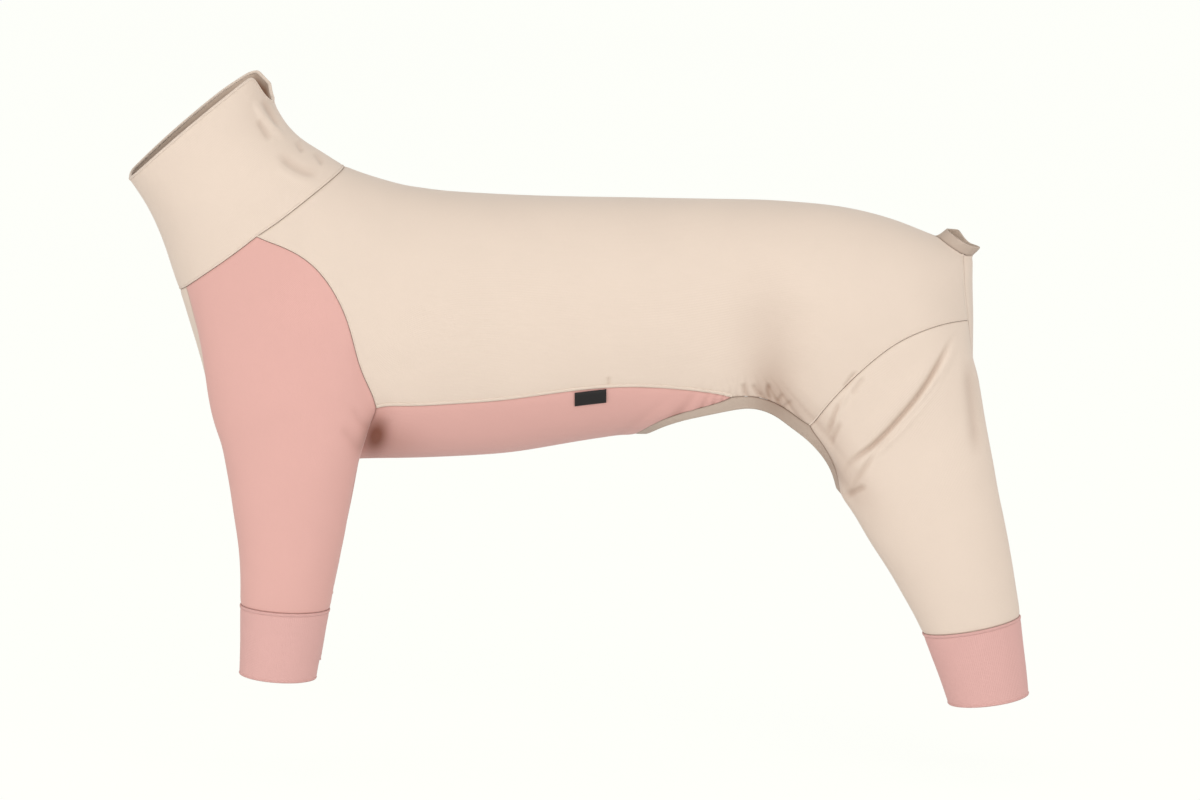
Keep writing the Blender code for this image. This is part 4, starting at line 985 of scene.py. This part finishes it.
class CoatSizes(bpy.types.PropertyGroup):
    """The sizes of the coat."""

    back_length: length_property("Back length", 0.502, "From the neck seam to the tail")
    chest_depth: length_property("Chest depth", 0.214, "From the back to the bottom of the chest")
    chest_width: length_property("Chest width", 0.154, "Across the ribs")
    collar_height: length_property("Collar height", 0.096, "From the neck seam to the rim")
    collar_width: length_property("Collar width", 0.092, "Across the collar's rim")
    collar_notch: length_property("Collar notch", 0.014, "How far the rim dips at the back of the neck")
    collar_bow: length_property("Collar bow", 0.0018, "How far the rim rises at its sides")
    front_leg_length: length_property("Front leg length", 0.144, "From the armpit to the cuff")
    front_leg_depth: length_property("Front leg depth", 0.126, "Front to back at the armpit")
    front_leg_width: length_property("Front leg width", 0.060, "Across the sleeve")
    front_leg_spacing: length_property("Front leg spacing", 0.104, "Between the middles of the sleeves")
    front_cuff_length: length_property("Front cuff length", 0.057, "From the seam to the hem")
    front_cuff_depth: length_property("Front cuff depth", 0.063, "Front to back at the hem")
    front_cuff_width: length_property("Front cuff width", 0.052, "Across the hem")
    hind_leg_length: length_property("Hind leg length", 0.137, "From the crotch to the cuff")
    hind_leg_depth: length_property("Hind leg depth", 0.141, "Front to back at the crotch")
    hind_leg_width: length_property("Hind leg width", 0.062, "Across the leg")
    hind_leg_spacing: length_property("Hind leg spacing", 0.100, "Between the middles of the legs")
    hind_cuff_length: length_property("Hind cuff length", 0.062, "From the seam to the hem")
    hind_cuff_depth: length_property("Hind cuff depth", 0.066, "Front to back at the hem")
    hind_cuff_width: length_property("Hind cuff width", 0.054, "Across the hem")
    tail_hole_length: length_property("Tail hole length", 0.028, "Along the back")
    tail_rim_height: length_property("Tail rim height", 0.009, "Of the binding round the tail hole")
    binding_width: length_property("Binding width", 0.0085, "Of the binding round the groin")
    binding_thickness: length_property("Binding thickness", 0.0020, "Of the folded binding")
    cloth: length_property("Cloth", 0.0015, "Thickness of the knit")
    seam_gap: length_property("Seam gap", 0.0004, "Between two panels")
    label_width: length_property("Label width", 0.025, "Of the side label")
    label_height: length_property("Label height", 0.012, "Of the side label")


def colour_property(name, default, description):
    return bpy.props.FloatVectorProperty(name=name, description=description, default=default, min=0, max=1, size=3,
                                         subtype="COLOR")


class CoatColours(bpy.types.PropertyGroup):
    """The colours of the coat."""

    beige: colour_property("Beige knit", (0.80, 0.672, 0.566), "Collar, back, chest, hind legs and gusset")
    pink: colour_property("Pink knit", (0.765, 0.440, 0.393), "Front legs and belly")
    rib: colour_property("Pink rib", (0.74, 0.435, 0.400), "Cuffs")
    # A greyer beige, made darker still as painted shade, since the bindings face down and inward.
    binding: colour_property("Binding", (0.56, 0.455, 0.375), "Groin and tail bindings")
    # One darker beige for the inner face of every panel, a shaded copy of the cloth's colour: painted shade.
    inside: colour_property("Inside", (0.62, 0.50, 0.40), "The inner face of the cloth")
    label: colour_property("Label", (0.012, 0.011, 0.011), "Side label")
    floor: colour_property("Floor", (0.99, 1.0, 0.955), "Studio floor and backdrop")


class Value:
    """A socket that gives a number, with arithmetic that adds the Math nodes."""

    def __init__(self, paint, socket):
        self.paint, self.socket = paint, socket

    def _maths(self, operation, a, b):
        return self.paint.node("ShaderNodeMath", {"operation": operation}, {0: a, 1: b})

    def __add__(self, other):
        return self._maths("ADD", self, other)

    def __radd__(self, other):
        return self._maths("ADD", other, self)

    def __sub__(self, other):
        return self._maths("SUBTRACT", self, other)

    def __rsub__(self, other):
        return self._maths("SUBTRACT", other, self)

    def __mul__(self, other):
        return self._maths("MULTIPLY", self, other)

    def __rmul__(self, other):
        return self._maths("MULTIPLY", other, self)

    def __truediv__(self, other):
        return self._maths("DIVIDE", self, other)

    def __pow__(self, other):
        return self._maths("POWER", self, other)

    def sine(self):
        return self._maths("SINE", self, 0)

    def size(self):
        return self._maths("ABSOLUTE", self, 0)


class Paint:
    """A material and the nodes that are added to it."""

    def __init__(self, name, **constants):
        self.material = bpy.data.materials.new(name)
        self.material.use_nodes = True
        self.nodes, self.links = self.material.node_tree.nodes, self.material.node_tree.links
        self.shader = self.nodes["Principled BSDF"]
        for socket, value in constants.items():
            self.shader.inputs[socket.replace("_", " ")].default_value = value

    def node(self, kind, settings=None, inputs=None, output=0):
        """Adds a node with its settings and inputs, and gives one of its outputs."""
        made = self.nodes.new(kind)
        for name, value in (settings or {}).items():
            if name == "stops":
                for element, (place, colour) in zip(made.color_ramp.elements, value):
                    element.position, element.color = place, (*colour, 1)
            else:
                setattr(made, name, value)
        for name, value in (inputs or {}).items():
            if isinstance(value, Value):
                self.links.new(value.socket, made.inputs[name])
            else:
                made.inputs[name].default_value = value
        return Value(self, made.outputs[output])

    def feed(self, socket, value):
        self.links.new(value.socket, self.shader.inputs[socket])

    def noise(self, scale, detail=2.0, stretch=(1, 1, 1)):
        place = self.node("ShaderNodeTexCoord", output="Object")
        place = self.node("ShaderNodeVectorMath", {"operation": "MULTIPLY"}, {0: place, 1: stretch})
        return self.node("ShaderNodeTexNoise", inputs={"Vector": place, "Scale": scale, "Detail": detail}, output="Fac")

    def cloth(self):
        """The two coordinates along the cloth, in metres."""
        spot = self.node("ShaderNodeUVMap", {"uv_map": "cloth"})
        split = self.node("ShaderNodeSeparateXYZ", inputs={0: spot})
        return split, Value(self, split.socket.node.outputs[1])

    def mixed(self, factor, low, high):
        ends = [end if isinstance(end, Value) else (*end, 1) for end in (low, high)]
        return self.node("ShaderNodeMix", {"data_type": "RGBA"}, {0: factor, 6: ends[0], 7: ends[1]}, output=2)


def colours():
    return bpy.context.scene.coat_colours


# How much of its own colour the cloth keeps where the painted shade is full, in red, green and blue.
PAINTED_SHADE_TINT = np.array([0.34, 0.21, 0.15])


def knit(name, colour, wale, depth, sheen=0.2, roughness=0.6):
    """Stretch knit: fine wales across the cloth, a soft sheen, uneven colour, and painted shade where the shade
    attribute asks.
    """
    colour = np.array(colour)
    paint = Paint(name, Metallic=0, Sheen_Weight=sheen, Sheen_Roughness=0.45, Specular_IOR_Level=0.25)
    across, along = paint.cloth()
    wales = (across * (2 * math.pi / wale)).sine()
    courses = (along * (2 * math.pi / (wale * 0.8)) + wales * 0.9).sine()
    mottle = paint.noise(16, 3)
    speckle = paint.noise(900, 2)
    tone = mottle * 0.55 + speckle * 0.25 + courses * 0.06 + 0.12
    own = paint.mixed(tone, tuple(colour * 0.94), tuple(np.minimum(colour * 1.055, 1)))
    # Painted shade: the shade attribute mixes the colour toward its darker tint.
    painted_shade = paint.node("ShaderNodeAttribute", {"attribute_name": "shade"}, output=2)
    paint.feed("Base Color", paint.mixed(painted_shade, own, tuple(colour * PAINTED_SHADE_TINT)))
    paint.feed("Roughness", roughness - 0.08 + mottle * 0.12)
    height = wales * 0.5 + courses * 0.35 + speckle * 0.5
    paint.feed("Normal", paint.node("ShaderNodeBump", inputs={"Strength": 0.35, "Distance": depth, "Height": height}))
    return paint.material


@functools.lru_cache(maxsize=None)
def cloth_material(cloth, side):
    """The material of one cloth, outside or inside."""
    own = colours()
    if side == "inside":
        return knit(f"{cloth}_inside", tuple(own.inside), 0.0011, 0.00012, sheen=0.0, roughness=0.85)
    if cloth == "rib":
        return knit("pink_rib", tuple(own.rib), 0.0016, 0.0003, sheen=0.15, roughness=0.7)
    if cloth == "binding":
        return knit("beige_binding", tuple(own.binding), 0.0012, 0.0003, sheen=0.1, roughness=0.75)
    return knit(f"{cloth}_knit", tuple(getattr(own, cloth)), 0.0011, 0.00016)


@functools.lru_cache(maxsize=None)
def fine_coat(sizes, quick):
    return FineCoat(sizes, quick)


def current_sizes():
    group = bpy.context.scene.coat_sizes
    return Sizes(**{name: round(getattr(group, name), 6) for name in Sizes._fields})


def coat():
    return fine_coat(current_sizes(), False)


def piece(name, points, corners, starts, materials, indices=None, spots=None, shade=None):
    """A mesh object that rides on the coat."""
    mesh = filled_mesh(name, points, corners, starts)
    for finish in materials:
        mesh.materials.append(finish)
    if indices is not None:
        mesh.polygons.foreach_set("material_index", np.asarray(indices, np.int32))
    layer = mesh.uv_layers.new(name="cloth")
    if spots is not None:
        layer.data.foreach_set("uv", np.asarray(spots, float).ravel())
    # The shade attribute carries the painted shade that the knit materials read.
    depth = mesh.attributes.new("shade", "FLOAT", "POINT")
    if shade is not None:
        depth.data.foreach_set("value", np.asarray(shade, float))
    mesh.shade_smooth()
    made = bpy.data.objects.new(name, mesh)
    bpy.context.scene.collection.objects.link(made)
    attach(made, "root")
    return made


def flat_faces(faces):
    """A list of faces as one row of corners and the corner that each starts at."""
    return (np.concatenate([np.asarray(face) for face in faces]),
            np.concatenate([[0], np.cumsum([len(face) for face in faces])]))


def sewn_panel(name, with_pieces=()):
    """One panel cut from the fine skin: outer face, inner face, and rims that are rounded where the edge is open."""
    whole, size, panel = coat(), current_sizes(), PANEL[name]
    chosen = whole.panel == whole.names.index(name)
    loops = chosen[faces_of_corners(whole.starts)]
    counts = np.diff(whole.starts)[chosen]
    starts = np.concatenate([[0], np.cumsum(counts)])
    used, local = np.unique(whole.corners[loops], return_inverse=True)
    local = local.ravel()
    points, normals, spots = whole.points[used], whole.normals[used], whole.spots[loops]
    pairs = np.stack([local, local[next_corners(starts)]], axis=1)
    key = np.sort(pairs, axis=1)
    _, inverse, uses = np.unique(key[:, 0] * len(used) + key[:, 1], return_inverse=True, return_counts=True)
    border = pairs[uses[inverse.ravel()] == 1]
    is_open = {tuple(sorted(edge)) for edge in whole.open_edges.tolist()}
    free = np.array([tuple(sorted((int(used[a]), int(used[b])))) in is_open for a, b in border])
    pull, along = np.zeros_like(points), points[border[:, 1]] - points[border[:, 0]]
    for k in range(2):
        at = border[:, k]
        np.add.at(pull, at[~free], unit(np.cross(normals[at], along))[~free])
    points = points + unit(pull) * size.seam_gap / 2 * (np.linalg.norm(pull, axis=1, keepdims=True) > 0)
    thickness = size.binding_thickness if name == "groin_binding" else size.cloth
    inner = points - normals * thickness
    # The middle of each rim stands out a little, so that hems look turned and not cut.
    rim, rim_number = np.unique(border, return_inverse=True)
    rim_number = rim_number.reshape(-1, 2)
    push = np.zeros((len(rim), 3))
    for k in range(2):
        np.add.at(push, rim_number[:, k], -unit(np.cross(normals[border[:, k]], along)) * free[:, None])
    middle = (points[rim] + inner[rim]) / 2 + unit(push) * 0.45 * thickness
    n, m = len(used), len(used) * 2
    a, b, ra, rb = border[:, 0], border[:, 1], m + rim_number[:, 0], m + rim_number[:, 1]
    sides = np.concatenate([np.stack([b, a, ra, rb], axis=1), np.stack([rb, ra, a + n, b + n], axis=1)])
    face_of = faces_of_corners(starts)
    backwards = starts[face_of] + starts[face_of + 1] - 1 - np.arange(len(local))
    corners = np.concatenate([local, local[backwards] + n, sides.ravel()])
    all_starts = np.concatenate([[0], np.cumsum(np.concatenate([counts, counts, np.full(len(sides), 4)]))])
    indices = np.repeat([0, 1, 0], [len(counts), len(counts), len(sides)])
    all_spots = np.concatenate([spots, spots[backwards], np.zeros((len(sides) * 4, 2))])
    # The outer face and rims take the painted shade of folds, gathers, seams and dabs; the inner face takes the painted
    # shade that deepens away from the openings.
    shade = np.concatenate([whole.shade[used], whole.deep[used], whole.shade[used][rim]])
    made = piece(f"{name}_cloth", np.vstack([points, inner, middle]), corners, all_starts,
                 [cloth_material(panel.cloth, "outside"), cloth_material(panel.cloth, "inside")], indices, all_spots,
                 shade)
    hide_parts(name)
    area = sum(face.area for face in made.data.polygons if face.material_index == 1)
    return made


def tube_rings(path, normals, width, height, lift, closed, side_sign=0.0, aside=0.0):
    """The points and faces of a rounded cord laid along a path on the cloth."""
    ahead = np.roll(path, -1, axis=0) - np.roll(path, 1, axis=0)
    if not closed:
        ahead[0], ahead[-1] = path[1] - path[0], path[-1] - path[-2]
    side = unit(np.cross(ahead, normals))
    turn = np.linspace(0, 2 * np.pi, 9)[:-1]
    middle = path + side * side_sign * aside
    rings = (middle[:, None] + side[:, None] * (np.cos(turn) * width / 2)[None, :, None]
             + normals[:, None] * (np.sin(turn) * height / 2 + lift)[None, :, None])
    count = len(path)
    r = np.arange(count if closed else count - 1)[:, None]
    k = np.arange(8)[None]
    s, j = (r + 1) % count, (k + 1) % 8
    faces = np.stack([r * 8 + k, r * 8 + j, s * 8 + j, s * 8 + k], axis=2).reshape(-1, 4).tolist()
    if not closed:
        faces.append(list(range(8))[::-1])
        faces.append([(count - 1) * 8 + n for n in range(8)])
    return rings.reshape(-1, 3), faces


def laid_cords(name, runs, finish, slot, width, height, lift, toward=None, aside=0.0):
    """Rounded cords along runs of vertices, as one piece. They may lie aside, toward one panel."""
    whole = coat()
    points, faces, base = [], [], 0
    for run in runs:
        closed = run[0] == run[-1]
        line = np.array(run[:-1] if closed else run)
        if len(line) < 4:
            continue
        path, normals = whole.points[line], whole.normals[line]
        sign = 0.0
        if toward:
            middle = len(line) // 2
            over = np.cross(path[(middle + 1) % len(path)] - path[middle - 1], normals[middle])
            sign = float(np.sign(np.dot(whole.panel_beside(toward, line[middle]) - path[middle], over)))
        ring, own = tube_rings(path, normals, width, height, lift, closed, sign, aside)
        points.append(ring)
        faces.extend([base + v for v in face] for face in own)
        base += len(ring)
    points = np.vstack(points)
    made = piece(name, points, *flat_faces(faces), [finish])
    return made


def seam_edge(name, panels, cloth, slot, width=0.0020, height=0.0012, lift=0.0002, aside=0.0):
    """The rolled edge along the seams between two panels, on the side of the first one."""
    return laid_cords(name, coat().seam_line(*panels), cloth_material(cloth, "outside"), slot, width, height, lift,
                      toward=panels[0] if aside else None, aside=aside)


def hem(name, panel, width=0.0022):
    """The turned edge of an opening."""
    own = PANEL[panel]
    return laid_cords(name, coat().open_line(panel), cloth_material(own.cloth, "outside"), own.slot, width,
                      width * 1.1, -current_sizes().cloth / 2)


class SewCollar(bpy.types.Operator):
    """Sew the collar and the rolled edge of its seam"""

    bl_idname = "dogcoat.collar"
    bl_label = "Collar"

    def execute(self, context):
        parts = [seam_edge("collar_seam_back", ("collar", "back_panel"), "beige", "beige_knit", aside=0.0010),
                 seam_edge("collar_seam_left", ("collar", "front_leg_left"), "beige", "beige_knit", aside=0.0010),
                 seam_edge("collar_seam_right", ("collar", "front_leg_right"), "beige", "beige_knit", aside=0.0010),
                 seam_edge("collar_seam_front", ("collar", "chest_panel"), "beige", "beige_knit", aside=0.0010),
                 hem("collar_hem", "collar", 0.0026)]
        sewn_panel("collar", parts)
        return {"FINISHED"}


class SewBody(bpy.types.Operator):
    """Sew the back panel, the chest panel and the gusset"""

    bl_idname = "dogcoat.body"
    bl_label = "Back, chest and gusset"

    def execute(self, context):
        thin = dict(width=0.0015, height=0.0008, lift=0.0001, aside=0.0008)
        edges = []
        for side in ("left", "right"):
            edges.append(seam_edge(f"shoulder_seam_{side}", ("back_panel", f"front_leg_{side}"), "beige",
                                   "beige_knit", **thin))
            edges.append(seam_edge(f"yoke_seam_{side}", ("back_panel", f"hind_leg_{side}"), "beige", "beige_knit",
                                   **thin))
        edges.append(seam_edge("belly_seams", ("back_panel", "belly_panel"), "beige", "beige_knit", 0.0030, 0.0020,
                               0.0003, 0.0012))
        sewn_panel("back_panel", edges)
        sewn_panel("chest_panel")
        sewn_panel("rump_gusset", [seam_edge("gusset_seams", ("back_panel", "rump_gusset"), "beige", "beige_knit",
                                             **thin)])
        return {"FINISHED"}


class SewBelly(bpy.types.Operator):
    """Sew the belly panel"""

    bl_idname = "dogcoat.belly"
    bl_label = "Belly"

    def execute(self, context):
        sewn_panel("belly_panel")
        return {"FINISHED"}


class SewLegs(bpy.types.Operator):
    """Sew the sleeves of all four legs"""

    bl_idname = "dogcoat.legs"
    bl_label = "Legs"

    def execute(self, context):
        for side in ("left", "right"):
            sewn_panel(f"front_leg_{side}")
            sewn_panel(f"hind_leg_{side}")
        return {"FINISHED"}


class SewCuffs(bpy.types.Operator):
    """Sew the cuffs and the rolled edges of their seams"""

    bl_idname = "dogcoat.cuffs"
    bl_label = "Cuffs"

    def execute(self, context):
        for end in ("front", "hind"):
            for side in ("left", "right"):
                parts = [seam_edge(f"{end}_cuff_seam_{side}", (f"{end}_cuff_{side}", f"{end}_leg_{side}"), "rib",
                                   "pink_rib", 0.0028, 0.0016, 0.0004, 0.0012),
                         hem(f"{end}_cuff_hem_{side}", f"{end}_cuff_{side}")]
                sewn_panel(f"{end}_cuff_{side}", parts)
        return {"FINISHED"}


class SewBindings(bpy.types.Operator):
    """Sew the bindings of the groin and of the tail hole"""

    bl_idname = "dogcoat.bindings"
    bl_label = "Bindings"

    def execute(self, context):
        sewn_panel("groin_binding")
        sewn_panel("tail_rim")
        return {"FINISHED"}


class SewLabel(bpy.types.Operator):
    """Sew the bare side label under the belly seam"""

    bl_idname = "dogcoat.label"
    bl_label = "Side label"

    def execute(self, context):
        made = side_label()
        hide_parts("side_label")
        return {"FINISHED"}


def side_label():
    """The side label: a thin plate that follows the belly just under its seam."""
    whole, size = coat(), current_sizes()
    pattern = whole.pattern
    tree = whole.tree("belly_panel")
    half = size.label_width / size.back_length / 2
    columns, rows = 17, 9
    inner, outer = [], []
    for j in range(rows):
        for i in range(columns):
            along = LABEL_PLACE_SHARE - half + 2 * half * i / (columns - 1)
            up = np.interp(along, [a for a, _ in BELLY_SEAM], [u for _, u in BELLY_SEAM])
            spot = pattern.seen(along, up)
            top, low, half_width = pattern.torso_frame(spot.station)
            girth = np.linalg.norm(top[0] - low[0]) / 2 + half_width[0]
            step = (LABEL_DROP + size.label_height * j / (rows - 1)) / (girth * math.pi / 2)
            found, normal, _, _ = tree.find_nearest(pattern.torso([Spot(spot.station, spot.around + step)])[0].tolist())
            normal = np.array(normal)
            edge = min(i, columns - 1 - i, j, rows - 1 - j)
            inner.append(np.array(found) + normal * 0.0006)
            outer.append(inner[-1] + normal * (0.0012 if edge else 0.0008))
    count = columns * rows
    faces = []
    for j in range(rows - 1):
        for i in range(columns - 1):
            a = j * columns + i
            ring = [a, a + columns, a + columns + 1, a + 1]
            faces.append(ring)
            faces.append([count + k for k in reversed(ring)])
    border = list(range(columns)) + [j * columns + columns - 1 for j in range(1, rows)]
    border += [count - 2 - i for i in range(columns - 1)] + [j * columns for j in range(rows - 2, 0, -1)]
    for p, q in zip(border, border[1:] + border[:1]):
        faces.append([p, q, count + q, count + p])
    paint = Paint("woven_black", Metallic=0, Specular_IOR_Level=0.3)
    grain = paint.noise(2400, 1)
    colour = np.array(tuple(colours().label))
    paint.feed("Base Color", paint.mixed(grain, tuple(colour), tuple(colour * 2.2)))
    paint.feed("Roughness", 0.55 + grain * 0.2)
    paint.feed("Normal", paint.node("ShaderNodeBump", inputs={"Strength": 0.4, "Distance": 0.0002, "Height": grain}))
    return piece("side_label_tag", np.vstack([outer, inner]), *flat_faces(faces), [paint.material])


class SetStage(bpy.types.Operator):
    """Set the floor, the lights and the camera"""

    bl_idname = "dogcoat.stage"
    bl_label = "Stage"

    def execute(self, context):
        set_stage()
        return {"FINISHED"}


FLOOR_HEIGHT = -0.46
CAMERA_ELEVATION = 6.5
CAMERA_DISTANCE = 7.0
FRAME_WIDTH = 0.96
CAMERA_AIM = (0, 0, -0.1617)
STUDIO_REACH = 60


# One studio lamp: where it stands and how big it is, in metres, its power in watts and its colour.
Lamp = namedtuple("Lamp", "name place size watts colour")
LAMPS = [
    Lamp("key_light", (1.5, -3.2, 1.1), 2.6, 50, (1.0, 1.0, 1.0)),
    Lamp("fill_light", (-2.8, -2.2, 0.0), 2.4, 32, (1.0, 0.98, 0.96)),
]
AIR_COLOUR, AIR_STRENGTH = (1.0, 0.975, 0.945, 1), 0.66


def backdrop(name, points, faces):
    """A plain pale surface round the coat. It lights nothing itself: the lamps and the air do."""
    made = bpy.data.objects.new(name, bpy.data.meshes.new(name))
    made.data.from_pydata(points, [], faces)
    paint = Paint(name, Roughness=0.95, Specular_IOR_Level=0.0, Emission_Strength=0.94)
    grain = paint.noise(0.7, 1)
    colour = np.array(tuple(colours().floor))
    paint.feed("Base Color", paint.mixed(grain, tuple(colour * 0.085), tuple(colour * 0.095)))
    paint.feed("Emission Color", paint.mixed(grain, tuple(colour * 0.998), tuple(colour)))
    made.data.materials.append(paint.material)
    made.visible_diffuse = made.visible_glossy = made.visible_shadow = False
    bpy.context.scene.collection.objects.link(made)


def set_stage():
    scene = bpy.context.scene
    scene.view_settings.view_transform = "Standard"
    world = bpy.data.worlds.new("studio_air")
    world.use_nodes = True
    world.node_tree.nodes["Background"].inputs["Color"].default_value = AIR_COLOUR
    world.node_tree.nodes["Background"].inputs["Strength"].default_value = AIR_STRENGTH
    scene.world = world
    reach = STUDIO_REACH
    ends = [(x, y) for x, y in ((-reach, -reach), (reach, -reach), (reach, reach), (-reach, reach))]
    backdrop("studio_floor", [(x, y, FLOOR_HEIGHT) for x, y in ends], [(0, 1, 2, 3)])
    room = [(x, y, z) for z in (FLOOR_HEIGHT, reach) for x, y in ends]
    backdrop("studio_walls", room, [(4, 7, 6, 5)] + [(k, 4 + k, 4 + (k + 1) % 4, (k + 1) % 4) for k in range(4)])
    for spot in LAMPS:
        light = bpy.data.lights.new(spot.name, "AREA")
        light.energy, light.size, light.color = spot.watts, spot.size, spot.colour
        lamp = bpy.data.objects.new(spot.name, light)
        lamp.location = spot.place
        lamp.rotation_mode = "QUATERNION"
        lamp.rotation_quaternion = (Vector((0, 0, -0.15)) - Vector(spot.place)).to_track_quat("-Z", "Y")
        scene.collection.objects.link(lamp)
    lens = bpy.data.cameras.new("photo_camera")
    lens.sensor_width = 36
    lens.lens = 36 * CAMERA_DISTANCE / FRAME_WIDTH
    lens.clip_end = 200
    camera = bpy.data.objects.new("photo_camera", lens)
    tilt = math.radians(CAMERA_ELEVATION)
    camera.location = (CAMERA_AIM[0], CAMERA_AIM[1] - CAMERA_DISTANCE * math.cos(tilt),
                       CAMERA_AIM[2] + CAMERA_DISTANCE * math.sin(tilt))
    camera.rotation_euler = (math.pi / 2 - tilt, 0, 0)
    scene.collection.objects.link(camera)
    scene.camera = camera


class DogCoatPanel(bpy.types.Panel):
    """Lists the pieces of the coat"""

    bl_label = "Dog coat"
    bl_idname = "VIEW3D_PT_dog_coat"
    bl_space_type = "VIEW_3D"
    bl_region_type = "UI"
    bl_category = "Dog coat"

    def draw(self, context):
        for group in (context.scene.coat_sizes, context.scene.coat_colours):
            for name in group.bl_rna.properties.keys():
                if name not in ("rna_type", "name"):
                    self.layout.prop(group, name)
        for operator in OPERATORS:
            self.layout.operator(operator.bl_idname)


OPERATORS = (SetStage, SewCollar, SewBody, SewBelly, SewLegs, SewCuffs, SewBindings, SewLabel)


def register():
    for kind in (CoatSizes, CoatColours, *OPERATORS, DogCoatPanel):
        bpy.utils.register_class(kind)
    bpy.types.Scene.coat_sizes = bpy.props.PointerProperty(type=CoatSizes)
    bpy.types.Scene.coat_colours = bpy.props.PointerProperty(type=CoatColours)


def unregister():
    del bpy.types.Scene.coat_sizes
    del bpy.types.Scene.coat_colours
    for kind in reversed((CoatSizes, CoatColours, *OPERATORS, DogCoatPanel)):
        bpy.utils.unregister_class(kind)


def main():
    register()
    bpy.ops.dogcoat.stage()
    bpy.ops.dogcoat.collar()
    bpy.ops.dogcoat.body()
    bpy.ops.dogcoat.belly()
    bpy.ops.dogcoat.legs()
    bpy.ops.dogcoat.cuffs()
    bpy.ops.dogcoat.bindings()
    bpy.ops.dogcoat.label()


if __name__ == "__main__":
    main()
